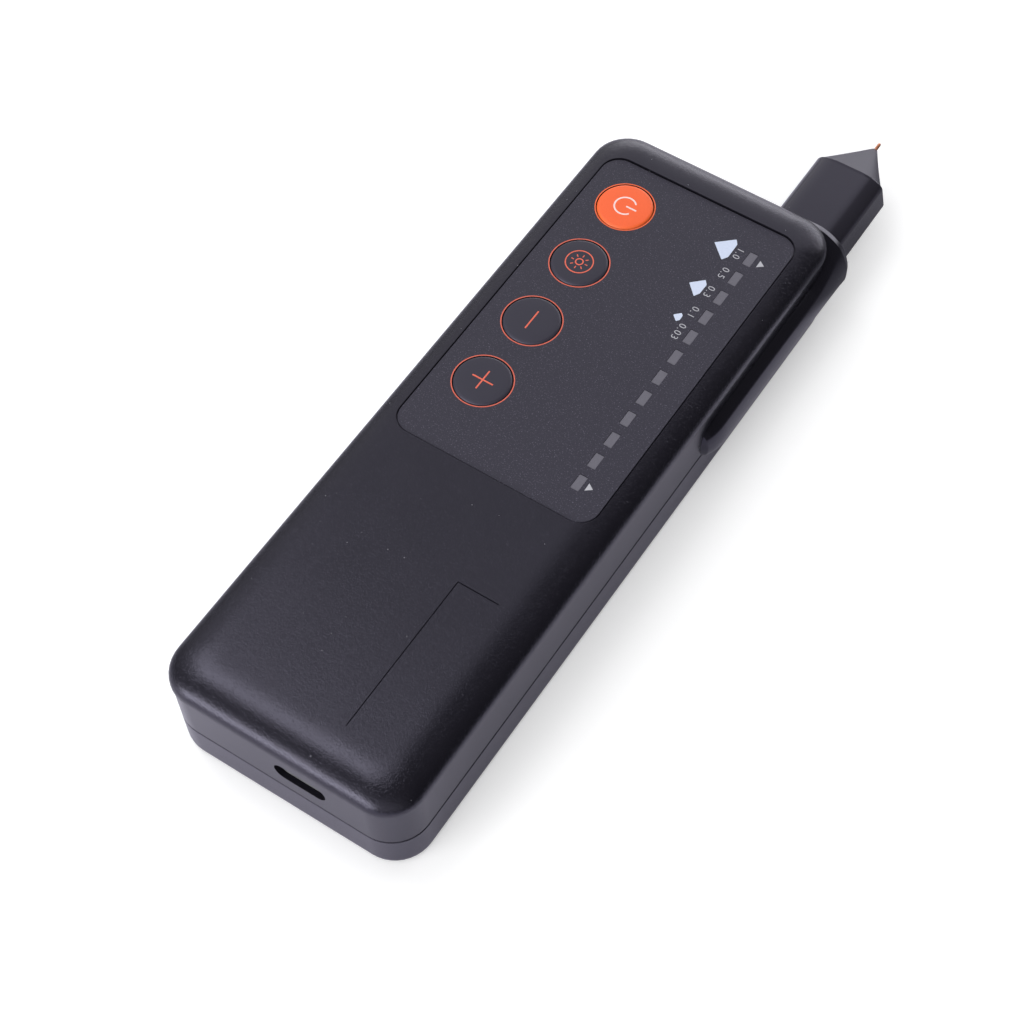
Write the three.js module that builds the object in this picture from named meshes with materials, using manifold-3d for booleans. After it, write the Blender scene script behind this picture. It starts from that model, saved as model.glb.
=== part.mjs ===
// A hand-held diamond tester, lying on its back: a flat two-shell case with a key panel, twelve
// indicator windows, a charging socket in its tail end and a spring-backed probe at its head end.
// Millimetres. +X is the side that the probe sits on, +Y points to the probe's tip, and +Z is up,
// out of the key panel. The origin is the middle of the flat back.

import * as THREE from 'three';
import { mergeVertices } from 'three/addons/utils/BufferGeometryUtils.js';
import Module from 'manifold-3d';

const wasm = await Module();
wasm.setup();

// Case
const bodyLength = 129;
const bodyWidth = 45;
const bodyThickness = 21;
const bodyCorner = 6.5;
const wall = 1.8;
const ceilingWall = 1.6;
const grooveHeight = 0.35;
const grooveDepth = 0.5;
const domeRun = 8;
const domeRise = 3.7;
const domeTopCorner = 3;
const creaseStep = 0.15;
const baseRun = 1.6;
const baseRise = 2.2;
const lipHeight = 1.2;
const lipThickness = 0.8;
const lipHeadroom = 0.5;
const fitGap = 0.2;
const overrun = 3;

// Bare pad near the tail, cut flat into the top
const padInset = 15.1;
const padReach = 37.2;
const padDepth = 0.1;

// Key panel film and its recess
const panelSink = 0.3;
const filmThickness = 0.35;
const panelSideMargin = 3.6;
const panelHeadMargin = 6.7;
const panelLength = 66.8;
const panelCorner = 3.6;
const filmGap = 0.2;

// Round keys, in one column
const keyInset = 8.3;
const keyHeadInset = 9.1;
const keyPitch = 14.3;
const keyRadius = 4.85;
const keyGap = 0.15;
const keyProud = 0.3;
const keyEdge = 0.3;
const keyFlange = 0.7;
const keyFlangeThickness = 1.1;
const keyHeadroom = 0.35;

// Push switches under the keys
const switchWidth = 6;
const switchHeight = 3.6;
const plungerRadius = 1.7;
const plungerDepth = 1;
const plungerProud = 2.1;
const plungerGap = 0.1;
const keyTravel = 0.4;
const plungerRelief = 0.3;

// Indicator windows, light guide, baffle and lamps
const windowInset = 5.9;
const windowHeadInset = 7.5;
const windowPitch = 4.777;
const windowWidth = 1.45;
const windowLength = 2.85;
const windowGap = 0.12;
const guideWidth = 3.2;
const guideHeight = 2;
const guideEnd = 1.1;
const guideSink = 0.05;
const baffleWidth = 3.6;
const ledWidth = 0.8;
const ledLength = 1.6;
const ledHeight = 0.8;

// Circuit board and what is soldered to it
const boardThickness = 1.6;
const boardGap = 0.3;
const boardCorner = 2.2;
const controlChipWidth = 7;
const controlChipHeight = 1.2;
const controlChipHeadInset = 37;
const controlChipX = 2;
const smallChipWidth = 4;
const smallChipLength = 5;
const smallChipHeight = 1.5;
const chargeChipTailInset = 15;
const coilWidth = 5;
const coilHeight = 3;
const coilX = -7;
const coilTailInset = 14;
const amplifierHeadInset = 24;
const amplifierX = 6;
const buzzerRadius = 4.75;
const buzzerFloorGap = 3.4;
const buzzerX = -8;
const buzzerHeadInset = 34;
const plugWidth = 5;
const plugLength = 4;
const plugHeight = 2.6;

// Charging socket in the tail end
const socketX = 4.2;
const socketWidth = 8.94;
const socketHeight = 3.26;
const socketSkin = 0.3;
const socketLength = 7.3;
const socketSink = 0.9;
const tongueWidth = 6.7;
const tongueThickness = 0.7;
const tongueLength = 5;

// Cell, its foam pad and leads
const cellWidth = 30;
const cellHeadroom = 2.2;
const cellCorner = 2;
const cellTailInset = 20;
const cellHeadInset = 57;
const foamThickness = 0.5;
const cellPlugGap = 7;
const leadRadius = 0.45;
const leadSpacing = 2;
const leadGap = 0.3;

// Case screws and their bosses
const bossRadius = 2.6;
const bossBaseRadius = 3.4;
const bossBaseHeight = 5;
const bossTailInset = 8;
const bossWallGap = 0.2;
const screwRadius = 0.95;
const screwGap = 0.12;
const screwHeadRadius = 2;
const screwHeadHeight = 1.5;
const screwHeadSink = 1.2;
const screwEndGap = 2.05;

// Violet lamp in the head end
const violetCollarGap = 5.8;
const violetRadius = 2.5;
const violetLength = 9.2;
const violetFlange = 0.4;
const violetFlangeThickness = 1;
const violetProud = 0.6;
const legRadius = 0.25;
const legSpacing = 2.54;
const legDrop = 0.6;
const legGap = 0.15;
const legOnBoard = 1.2;

// Probe: sleeve, nose, needle and what is inside
const probeInset = 7.1;
const probeHeight = 9.95;
const sleeveWidth = 13.1;
const sleeveHeight = 11.2;
const sleeveCorner = 2.6;
const sleeveWall = 1.6;
const sleeveReach = 16.8;
const sleeveSeat = 5;
const spigotWidth = 8.4;
const spigotHeight = 8.4;
const spigotCorner = 3.4;
const spigotLength = 5.2;
const spigotFlange = 1;
const spigotBore = 2.6;
const noseLength = 10.2;
const noseTipRadius = 0.5;
const nosePlugLength = 3;
const needleRadius = 0.3;
const needleGap = 0.1;
const needleReach = 2;
const needlePoint = 0.4;
const needleTipRadius = 0.15;
const needleTail = 0.6;
const carrierBore = 2.1;
const carrierGap = 0.2;
const heaterLength = 4;
const endPlugLength = 2.5;
const springRadius = 1.35;
const springWire = 0.2;
const springSeatGap = 0.05;

// Collar round the probe, and the slim rail that runs back from it along the case's side
const collarProud = 1;
const collarSide = 9.3;
const collarInner = 15;
const collarTop = 7.85;
const collarCorner = 3;
const collarLowCorner = 7;
const collarSideRound = 8;
const railHalfHeight = 4.2;
const railCorner = 1.4;
const railLength = 46.3;
const railEndLength = 5.5;
const railEndHalfHeight = 2.9;
const railSeat = 0.4;
const webCorner = 3;
const flareLength = 11;

// Counts, turns and powers
const keyNames = ['power', 'uv', 'minus', 'plus'];
const windowCount = 12;
const cornerSteps = 6;
const domeSteps = 6;
const baseSteps = 5;
const roundSides = 24;
const smallSides = 12;
const wireSides = 8;
const flareSteps = 6;
const endSteps = 4;
const flarePower = 1.5;
const domeRunPower = 2.8;
const domeRisePower = 2.5;
const springTurns = 8;
const springSides = 5;
const springStepsPerTurn = 8;
const leadSteps = 12;
const mergeTolerance = 1e-4;
const nearRoundShare = 0.98;
const leadBendShares = [1 / 3, 2 / 3];
const quarterTurn = Math.PI / 2;
const fullTurn = Math.PI * 2;

// Places and sizes that follow from the others
const headY = bodyLength / 2;
const tailY = -bodyLength / 2;
const sideX = bodyWidth / 2;
const floorTop = wall;
const panelTop = bodyThickness - panelSink;
const recessFloor = panelTop - filmThickness;
const ceiling = recessFloor - ceilingWall;
const panelSideX = sideX - panelSideMargin;
const panelHeadY = headY - panelHeadMargin;
const panelTailY = panelHeadY - panelLength;
const keyX = -panelSideX + keyInset;
const firstKeyY = panelHeadY - keyHeadInset;
const keyHoleRadius = keyRadius + keyGap;
const keyFlangeTop = ceiling - keyHeadroom;
const keyFlangeBottom = keyFlangeTop - keyFlangeThickness;
const switchTop = keyFlangeBottom - plungerProud;
const boardTop = switchTop - switchHeight;
const boardBottom = boardTop - boardThickness;
const partingHeight = boardBottom - lipHeadroom - lipHeight;
const creaseHeight = bodyThickness - domeRise;
const windowX = panelSideX - windowInset;
const firstWindowY = panelHeadY - windowHeadInset;
const lastWindowY = firstWindowY - (windowCount - 1) * windowPitch;
const guideHeadY = firstWindowY + windowLength / 2 + guideEnd;
const guideTailY = lastWindowY - windowLength / 2 - guideEnd;
const guideBottom = ceiling - guideHeight;
const probeX = sideX - probeInset;
const spigotEndY = -sleeveSeat - spigotLength;
const boardHeadY = headY + spigotEndY - spigotFlange - boardGap;
const violetX = probeX - collarInner - violetCollarGap;
const violetHeight = boardTop + legGap + legRadius + legDrop;
const bossX = sideX - wall - bossRadius - bossWallGap;
const bossHeadY = firstKeyY - keyPitch / 2;
const bossTailY = tailY + bossTailInset;
const bossPlaces = [[-bossX, bossTailY], [bossX, bossTailY], [-bossX, bossHeadY], [bossX, bossHeadY]];
const screwNeck = screwHeadSink + screwHeadHeight;
const screwEnd = ceiling - screwEndGap;
const socketZ = boardTop + socketHeight / 2;
const cellBottom = floorTop + foamThickness;
const cellTop = boardBottom - cellHeadroom;
const cellTailY = tailY + cellTailInset;
const cellHeadY = headY - cellHeadInset;
const plugBottom = boardBottom - plugHeight;

// Finishes, in the photo's colours
const finishes = {
  caseTop: { color: '#3d3b43', roughness: 0.55, metalness: 0 },
  caseBottom: { color: '#45434b', roughness: 0.5, metalness: 0 },
  film: { color: '#46444e', roughness: 0.6, metalness: 0 },
  darkKey: { color: '#403e47', roughness: 0.5, metalness: 0 },
  orangeKey: { color: '#ff7042', roughness: 0.45, metalness: 0 },
  smoked: { color: '#6b6972', roughness: 0.4, metalness: 0 },
  sleeve: { color: '#3b3a41', roughness: 0.35, metalness: 0 },
  nose: { color: '#5c5a64', roughness: 0.35, metalness: 0 },
  copper: { color: '#c87850', roughness: 0.3, metalness: 1 },
  board: { color: '#1f5a35', roughness: 0.6, metalness: 0 },
  blackPart: { color: '#1d1d20', roughness: 0.6, metalness: 0 },
  paleLamp: { color: '#f0efe2', roughness: 0.4, metalness: 0 },
  violetLamp: { color: '#8f7bd8', roughness: 0.2, metalness: 0 },
  steel: { color: '#b9bbc0', roughness: 0.3, metalness: 1 },
  cell: { color: '#8f9aa6', roughness: 0.45, metalness: 0 },
  foam: { color: '#26262a', roughness: 0.9, metalness: 0 },
  paleInsulator: { color: '#e3dfd2', roughness: 0.6, metalness: 0 },
  redLead: { color: '#b32a24', roughness: 0.5, metalness: 0 },
  blackLead: { color: '#18181b', roughness: 0.5, metalness: 0 },
};

// A closed geometry as a solid that can be joined and cut
function solidOf(geometry) {
  const bare = geometry.clone();
  bare.deleteAttribute('normal');
  bare.deleteAttribute('uv');
  const merged = mergeVertices(bare, mergeTolerance);
  const mesh = new wasm.Mesh({
    numProp: 3,
    vertProperties: new Float32Array(merged.attributes.position.array),
    triVerts: new Uint32Array(merged.index.array),
  });
  return new wasm.Manifold(mesh);
}

// A cut or joined solid as a geometry again
function geometryOf(solid) {
  const { vertProperties, triVerts } = solid.getMesh();
  const geometry = new THREE.BufferGeometry();
  geometry.setAttribute('position', new THREE.BufferAttribute(vertProperties, 3));
  geometry.setIndex(new THREE.BufferAttribute(triVerts, 1));
  geometry.computeVertexNormals();
  return geometry;
}

function piece(name, shape, finish) {
  const geometry = shape.isBufferGeometry ? shape : geometryOf(shape);
  const mesh = new THREE.Mesh(geometry, new THREE.MeshStandardMaterial(finishes[finish]));
  mesh.name = name;
  return mesh;
}

function joined(solids) {
  return solids.reduce((whole, solid) => whole.add(solid));
}

function cutBy(solid, tools) {
  return tools.reduce((rest, tool) => rest.subtract(tool), solid);
}

// Corner points of a rounded rectangle, counter-clockwise; radii start at its high right corner
function roundedPoints(left, right, low, high, radii) {
  const [highRight, highLeft, lowLeft, lowRight] = radii;
  const corners = [
    [right - highRight, high - highRight, highRight],
    [left + highLeft, high - highLeft, highLeft],
    [left + lowLeft, low + lowLeft, lowLeft],
    [right - lowRight, low + lowRight, lowRight],
  ];
  return corners.flatMap(([x, y, radius], corner) => Array.from({ length: cornerSteps + 1 }, (_, step) => {
    const angle = (corner + step / cornerSteps) * quarterTurn;
    return new THREE.Vector2(x + radius * Math.cos(angle), y + radius * Math.sin(angle));
  }));
}

function centredOutline(width, height, radius) {
  const radii = [radius, radius, radius, radius];
  return roundedPoints(-width / 2, width / 2, -height / 2, height / 2, radii);
}

// A flat outline raised from one height to another
function plate(points, bottom, top) {
  const shape = new THREE.Shape(points);
  const geometry = new THREE.ExtrudeGeometry(shape, { depth: top - bottom, bevelEnabled: false });
  return solidOf(geometry.translate(0, 0, bottom));
}

// An outline in X and Z drawn out along Y
function bar(points, tail, head) {
  const shape = new THREE.Shape(points);
  const geometry = new THREE.ExtrudeGeometry(shape, { depth: head - tail, bevelEnabled: false });
  return solidOf(geometry.rotateX(quarterTurn).translate(0, head, 0));
}

function block(width, length, bottom, top, x = 0, y = 0) {
  const geometry = new THREE.BoxGeometry(width, length, top - bottom);
  return solidOf(geometry.translate(x, y, (bottom + top) / 2));
}

function post(radius, bottom, top, x = 0, y = 0, sides = smallSides) {
  const geometry = new THREE.CylinderGeometry(radius, radius, top - bottom, sides);
  return solidOf(geometry.rotateX(quarterTurn).translate(x, y, (bottom + top) / 2));
}

function rod(radius, tail, head, x = 0, z = 0, sides = smallSides) {
  const geometry = new THREE.CylinderGeometry(radius, radius, head - tail, sides);
  return solidOf(geometry.translate(x, (tail + head) / 2, z));
}

// A profile of radius and height turned round Z
function turned(profile, sides = roundSides) {
  const points = profile.map(([radius, height]) => new THREE.Vector2(radius, height));
  return new THREE.LatheGeometry(points, sides).rotateX(quarterTurn);
}

// A profile of radius and length turned round Y
function turnedAlong(profile, sides = smallSides) {
  const points = profile.map(([radius, length]) => new THREE.Vector2(radius, length));
  return new THREE.LatheGeometry(points, sides);
}

// Rings of equal point counts joined into one closed skin; seen from the first ring's side, each
// turns counter-clockwise
function loft(rings) {
  const count = rings[0].length;
  const places = rings.flat();
  const index = [];
  for (let ring = 0; ring + 1 < rings.length; ring += 1) {
    for (let step = 0; step < count; step += 1) {
      const here = ring * count + step;
      const next = ring * count + (step + 1) % count;
      index.push(here, next + count, next);
      index.push(here, here + count, next + count);
    }
  }
  const ends = [rings[0], rings[rings.length - 1]];
  ends.forEach((ring, end) => {
    const centre = places.length;
    const first = end === 0 ? 0 : (rings.length - 1) * count;
    places.push(ring.reduce((sum, place) => sum.add(place), new THREE.Vector3()).divideScalar(count));
    for (let step = 0; step < count; step += 1) {
      const here = first + step;
      const next = first + (step + 1) % count;
      index.push(centre, end === 0 ? here : next, end === 0 ? next : here);
    }
  });
  const geometry = new THREE.BufferGeometry().setFromPoints(places);
  geometry.setIndex(index);
  return solidOf(geometry);
}

function ringAt(points, y) {
  return points.map((point) => new THREE.Vector3(point.x, y, point.y));
}

// Plan outline of the case, moved in by an inset
function casePlan(inset) {
  return centredOutline(bodyWidth - 2 * inset, bodyLength - 2 * inset, bodyCorner - inset);
}

// Softly rounded top of the case, from the flat face down to the crease, where it stands a step
// proud of the walls
function domeBlock() {
  const rings = Array.from({ length: domeSteps + 1 }, (_, step) => {
    const angle = step / domeSteps * quarterTurn;
    const share = 1 - Math.sin(angle) ** (2 / domeRunPower);
    const height = creaseHeight + domeRise * Math.cos(angle) ** (2 / domeRisePower);
    const inset = domeRun * share - creaseStep;
    const corner = bodyCorner + (domeTopCorner - bodyCorner) * share;
    const points = centredOutline(bodyWidth - 2 * inset, bodyLength - 2 * inset, corner);
    return points.map((point) => new THREE.Vector3(point.x, point.y, height));
  });
  return loft(rings);
}

// Tall block with the tray's rounded lower edge, its top left to be cut
function trayBlock() {
  const width = Math.min(baseRun, nearRoundShare * bodyCorner);
  const geometry = new THREE.ExtrudeGeometry(new THREE.Shape(casePlan(0)), {
    depth: bodyThickness,
    bevelEnabled: true,
    bevelSize: width,
    bevelThickness: baseRise,
    bevelOffset: -width,
    bevelSegments: baseSteps,
  });
  return solidOf(geometry.translate(0, 0, baseRise));
}

// One cross-section of the collar or the rail, whose sides lean in above the probe's axis
function collarRing(y, halfHeight, side, corner) {
  const high = Math.min(corner, nearRoundShare * halfHeight);
  const low = Math.min(collarLowCorner, nearRoundShare * halfHeight);
  const points = roundedPoints(
    probeX - collarInner,
    probeX + side,
    probeHeight - halfHeight,
    probeHeight + halfHeight,
    [high, high, low, low],
  );
  return ringAt(points, y).map((place) => {
    const lean = Math.max(0, place.z - probeHeight) ** 2 / (2 * collarSideRound);
    return place.setX(place.x - Math.sign(place.x - probeX) * lean);
  });
}

// The collar's rim, its flare back to the slim rail, and the rail's rounded end at the wall
function collar(inset) {
  const rimY = headY + collarProud;
  const side = collarSide - inset;
  const railEndY = rimY - railLength;
  const wallSide = sideX - probeX - railSeat - inset;
  const rings = [];
  for (let step = 0; step <= endSteps; step += 1) {
    const share = step / endSteps;
    const swell = Math.sqrt(1 - (1 - share) ** 2);
    const halfHeight = railEndHalfHeight + (railHalfHeight - railEndHalfHeight) * swell - inset;
    const reach = wallSide + (side - wallSide) * swell;
    rings.push(collarRing(railEndY + share * railEndLength, halfHeight, reach, railCorner));
  }
  for (let step = 0; step <= flareSteps; step += 1) {
    const share = step / flareSteps;
    const rise = share ** flarePower;
    const halfHeight = railHalfHeight + (collarTop - railHalfHeight) * rise - inset;
    const corner = railCorner + (collarCorner - railCorner) * rise;
    rings.push(collarRing(rimY - flareLength * (1 - share), halfHeight, side, corner));
  }
  return loft(rings);
}

function sleeveOutline(grow) {
  const points = centredOutline(sleeveWidth + 2 * grow, sleeveHeight + 2 * grow, sleeveCorner + grow);
  return points.map((point) => new THREE.Vector2(point.x + probeX, point.y + probeHeight));
}

function spigotOutline(grow) {
  const points = centredOutline(spigotWidth + 2 * grow, spigotHeight + 2 * grow, spigotCorner + grow);
  return points.map((point) => new THREE.Vector2(point.x + probeX, point.y + probeHeight));
}

// Solid web inside the case, behind the collar, that grips the sleeve and its spigot
function sleeveWeb() {
  const points = roundedPoints(
    probeX - collarInner,
    sideX - railSeat,
    probeHeight - collarTop,
    probeHeight + collarTop,
    [webCorner, webCorner, webCorner, webCorner],
  );
  return bar(points, headY + spigotEndY + fitGap, headY - wall / 2);
}

function sleeveHole() {
  const seatY = headY - sleeveSeat - fitGap;
  const wide = bar(sleeveOutline(fitGap), seatY, headY + collarProud + overrun);
  const narrow = bar(spigotOutline(fitGap), headY + spigotEndY - overrun, seatY + overrun);
  return wide.add(narrow);
}

// Room for the screw bosses in what stands beside them
function bossRooms(bottom, top) {
  return bossPlaces.map(([x, y]) => post(bossRadius + fitGap, bottom, top, x, y));
}

// The screw holes in the shells and the board
function screwHoles(bottom, top) {
  return bossPlaces.map(([x, y]) => post(screwRadius + screwGap, bottom, top, x, y));
}

// A layer of space between two heights
function sliceOf(bottom, top) {
  return block(2 * bodyWidth, 2 * bodyLength, bottom, top);
}

function socketOutline(grow) {
  const width = socketWidth + 2 * grow;
  const height = socketHeight + 2 * grow;
  const points = centredOutline(width, height, nearRoundShare * height / 2);
  return points.map((point) => new THREE.Vector2(point.x + socketX, point.y + socketZ));
}

function filmOutline(inset) {
  const radius = panelCorner - inset;
  return roundedPoints(
    -panelSideX + inset,
    panelSideX - inset,
    panelTailY + inset,
    panelHeadY - inset,
    [radius, radius, radius, radius],
  );
}

function keyPlaces() {
  return keyNames.map((name, row) => ({ name, y: firstKeyY - row * keyPitch }));
}

function windowPlaces() {
  return Array.from({ length: windowCount }, (_, row) => firstWindowY - row * windowPitch);
}

function windowSlots(bottom, top) {
  return windowPlaces().map((y) => (
    block(windowWidth + windowGap, windowLength + windowGap, bottom, top, windowX, y)
  ));
}

function topHousing() {
  const walls = plate(casePlan(0), partingHeight, creaseHeight);
  const upperCollar = collar(0).intersect(sliceOf(partingHeight, bodyThickness));
  const outside = joined([domeBlock(), walls, upperCollar]);
  const inside = plate(casePlan(wall), partingHeight - overrun, ceiling);
  const web = sleeveWeb().intersect(sliceOf(partingHeight, ceiling));
  const bosses = bossPlaces.map(([x, y]) => post(bossRadius, boardTop, ceiling, x, y));
  const shell = joined([outside.subtract(inside), web, ...bosses]);
  const keyHoles = keyPlaces().map(({ y }) => (
    post(keyHoleRadius, ceiling - overrun, bodyThickness + overrun, keyX, y, roundSides)
  ));
  const padWidth = padInset + overrun;
  const padTail = tailY - overrun;
  const pad = block(
    padWidth,
    tailY + padReach - padTail,
    bodyThickness - padDepth,
    bodyThickness + overrun,
    sideX - padInset + padWidth / 2,
    (tailY + padReach + padTail) / 2,
  );
  return cutBy(shell, [
    plate(filmOutline(0), recessFloor, bodyThickness + overrun),
    ...keyHoles,
    ...windowSlots(ceiling - overrun, bodyThickness),
    ...screwHoles(boardTop - overrun, screwEnd + fitGap),
    pad,
    sleeveHole(),
    bar(socketOutline(fitGap), tailY - overrun, tailY + wall + overrun),
    rod(violetRadius + fitGap, headY - wall - overrun, headY + overrun, violetX, violetHeight, roundSides),
  ]);
}

function bottomHousing() {
  const low = sliceOf(0, partingHeight);
  const outside = trayBlock().add(collar(0)).intersect(low);
  const groove = cutBy(sliceOf(partingHeight - grooveHeight, partingHeight), [
    plate(casePlan(grooveDepth), 0, bodyThickness),
    collar(grooveDepth),
  ]);
  const inside = plate(casePlan(wall), floorTop, partingHeight + overrun);
  const web = sleeveWeb().intersect(low);
  const bayLength = headY - boardHeadY + overrun;
  const bayX = probeX - collarInner - fitGap + bodyWidth;
  const bay = block(2 * bodyWidth, bayLength, floorTop, bodyThickness, bayX, headY - bayLength / 2);
  const ledge = plate(casePlan(wall / 2), partingHeight - lipHeight, partingHeight);
  const tongue = plate(casePlan(wall + fitGap), partingHeight - lipHeight, partingHeight + lipHeight);
  const lip = cutBy(ledge.add(tongue), [
    plate(casePlan(wall + fitGap + lipThickness), 0, bodyThickness),
    bay,
  ]);
  const bosses = bossPlaces.map(([x, y]) => {
    const base = post(bossBaseRadius, floorTop / 2, bossBaseHeight, x, y);
    const inWall = base.intersect(plate(casePlan(wall / 2), 0, bodyThickness));
    return post(bossRadius, floorTop / 2, boardBottom, x, y).add(inWall);
  });
  const sinks = bossPlaces.map(([x, y]) => post(screwHeadRadius + fitGap, -overrun, screwNeck, x, y));
  const shell = joined([outside.subtract(inside), web, lip, ...bosses]);
  return cutBy(shell, [...screwHoles(-overrun, boardTop), ...sinks, groove, sleeveHole()]);
}

function panelFilm() {
  const film = plate(filmOutline(filmGap), recessFloor, panelTop);
  const keyHoles = keyPlaces().map(({ y }) => (
    post(keyHoleRadius, recessFloor - overrun, panelTop + overrun, keyX, y, roundSides)
  ));
  return cutBy(film, [...keyHoles, ...windowSlots(recessFloor - overrun, panelTop + overrun)]);
}

// Key cap with the flange that keeps it under the ceiling, standing on its switch's plunger
function keyCap() {
  const top = panelTop + keyProud;
  return turned([
    [0, keyFlangeBottom],
    [keyRadius + keyFlange, keyFlangeBottom],
    [keyRadius + keyFlange, keyFlangeTop],
    [keyRadius, keyFlangeTop],
    [keyRadius, top - keyEdge],
    [keyRadius - keyEdge, top],
    [0, top],
  ]);
}

function switchBody() {
  const body = block(switchWidth, switchWidth, boardTop, switchTop);
  const boreFloor = switchTop - plungerDepth - keyTravel - plungerRelief;
  return body.subtract(post(plungerRadius + plungerGap, boreFloor, switchTop + overrun));
}

function plunger() {
  return post(plungerRadius, switchTop - plungerDepth, keyFlangeBottom);
}

function lightGuide() {
  const pips = windowPlaces().map((y) => (
    block(windowWidth - windowGap, windowLength - windowGap, guideBottom, panelTop - guideSink, windowX, y)
  ));
  const middle = (guideHeadY + guideTailY) / 2;
  const strip = block(guideWidth, guideHeadY - guideTailY, guideBottom, ceiling, windowX, middle);
  return joined([cutBy(strip, bossRooms(guideBottom - overrun, ceiling + overrun)), ...pips]);
}

function lightBaffle() {
  const middle = (guideHeadY + guideTailY) / 2;
  const body = block(baffleWidth, guideHeadY - guideTailY, boardTop, guideBottom, windowX, middle);
  const wells = windowPlaces().map((y) => (
    block(windowWidth, windowLength, boardTop - overrun, guideBottom + overrun, windowX, y)
  ));
  return cutBy(body, [...wells, ...bossRooms(boardTop - overrun, guideBottom + overrun)]);
}

function circuitBoard() {
  const tailCorner = bodyCorner - wall - boardGap;
  const points = roundedPoints(
    -sideX + wall + boardGap,
    sideX - wall - boardGap,
    tailY + wall + boardGap,
    boardHeadY,
    [boardCorner, boardCorner, tailCorner, tailCorner],
  );
  return cutBy(plate(points, boardBottom, boardTop), screwHoles(boardBottom - overrun, boardTop + overrun));
}

function socketShell() {
  const mouth = tailY + socketSink;
  const tube = bar(socketOutline(0), mouth, mouth + socketLength);
  return tube.subtract(bar(socketOutline(-socketSkin), mouth - overrun, mouth + socketLength - socketSkin));
}

function socketTongue() {
  const end = tailY + socketSink + socketLength - socketSkin;
  const low = socketZ - tongueThickness / 2;
  return block(tongueWidth, tongueLength, low, low + tongueThickness, socketX, end - tongueLength / 2);
}

function caseScrew() {
  return turned([
    [0, screwHeadSink],
    [screwHeadRadius, screwHeadSink],
    [screwHeadRadius, screwNeck],
    [screwRadius, screwNeck],
    [screwRadius, screwEnd],
    [0, screwEnd],
  ], smallSides);
}

// A round lead through chosen places
function lead(places) {
  const path = new THREE.CatmullRomCurve3(places);
  const section = new THREE.Shape(Array.from({ length: wireSides }, (_, side) => {
    const angle = side / wireSides * fullTurn;
    return new THREE.Vector2(leadRadius * Math.cos(angle), leadRadius * Math.sin(angle));
  }));
  return new THREE.ExtrudeGeometry(section, { steps: leadSteps, extrudePath: path, bevelEnabled: false });
}

function violetLamp() {
  const start = -violetLength;
  const shoulder = -violetRadius;
  const dome = Array.from({ length: endSteps }, (_, step) => {
    const angle = step / endSteps * quarterTurn;
    return [violetRadius * Math.cos(angle), shoulder + violetRadius * Math.sin(angle)];
  });
  return turnedAlong([
    [0, start],
    [violetRadius + violetFlange, start],
    [violetRadius + violetFlange, start + violetFlangeThickness],
    [violetRadius, start + violetFlangeThickness],
    ...dome,
    [0, 0],
  ], roundSides);
}

function probeSleeve() {
  const outer = bar(sleeveOutline(0), headY - sleeveSeat, headY + sleeveReach);
  const spigot = bar(spigotOutline(0), headY + spigotEndY, headY - sleeveSeat + sleeveWall);
  const flange = bar(spigotOutline(spigotFlange), headY + spigotEndY - spigotFlange, headY + spigotEndY)
    .intersect(plate(casePlan(wall + fitGap), 0, bodyThickness));
  const hollow = bar(
    sleeveOutline(-sleeveWall),
    headY - sleeveSeat + sleeveWall,
    headY + sleeveReach + overrun,
  );
  const boreTail = headY + spigotEndY - spigotFlange - overrun;
  const bore = rod(spigotBore, boreTail, headY, probeX, probeHeight, roundSides);
  return cutBy(joined([outer, spigot, flange]), [hollow, bore]);
}

function probeNose() {
  const base = headY + sleeveReach;
  const tip = centredOutline(2 * noseTipRadius, 2 * noseTipRadius, nearRoundShare * noseTipRadius)
    .map((point) => new THREE.Vector2(point.x + probeX, point.y + probeHeight));
  const cone = loft([ringAt(sleeveOutline(0), base), ringAt(tip, base + noseLength)]);
  const plug = bar(sleeveOutline(-sleeveWall - carrierGap), base - nosePlugLength, base + carrierGap);
  const bore = rod(
    needleRadius + needleGap,
    base - nosePlugLength - overrun,
    base + noseLength + overrun,
    probeX,
    probeHeight,
  );
  return cone.add(plug).subtract(bore);
}

// Lengths along the probe, measured from the case's head end
const carrierTail = -sleeveSeat + sleeveWall + carrierGap;
const carrierHead = sleeveReach - nosePlugLength - carrierGap;
const endPlugHead = carrierTail + endPlugLength;
const heaterTail = carrierHead - heaterLength;
const tipY = sleeveReach + noseLength + needleReach;

function probeCarrier() {
  const body = bar(sleeveOutline(-sleeveWall - carrierGap), headY + carrierTail, headY + carrierHead);
  const bore = rod(
    carrierBore,
    headY + carrierTail - overrun,
    headY + carrierHead + overrun,
    probeX,
    probeHeight,
    roundSides,
  );
  return body.subtract(bore);
}

function endPlug() {
  const body = rod(carrierBore - carrierGap / 2, carrierTail, endPlugHead);
  return body.subtract(rod(needleRadius + needleGap, carrierTail - overrun, endPlugHead + overrun));
}

function needle() {
  return turnedAlong([
    [0, endPlugHead + needleTail],
    [needleRadius, endPlugHead + needleTail],
    [needleRadius, tipY - needlePoint],
    [needleTipRadius, tipY],
    [0, tipY],
  ]);
}

function heater() {
  const body = rod(carrierBore - carrierGap, heaterTail, carrierHead);
  return body.subtract(rod(needleRadius + needleGap, heaterTail - overrun, carrierHead + overrun));
}

// Centre line of the coil spring behind the heater
class SpringPath extends THREE.Curve {
  getPoint(share, target = new THREE.Vector3()) {
    const tail = endPlugHead + springSeatGap + springWire;
    const head = heaterTail - springSeatGap - springWire;
    const angle = share * springTurns * fullTurn;
    return target.set(
      springRadius * Math.cos(angle),
      tail + (head - tail) * share,
      springRadius * Math.sin(angle),
    );
  }
}

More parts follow.
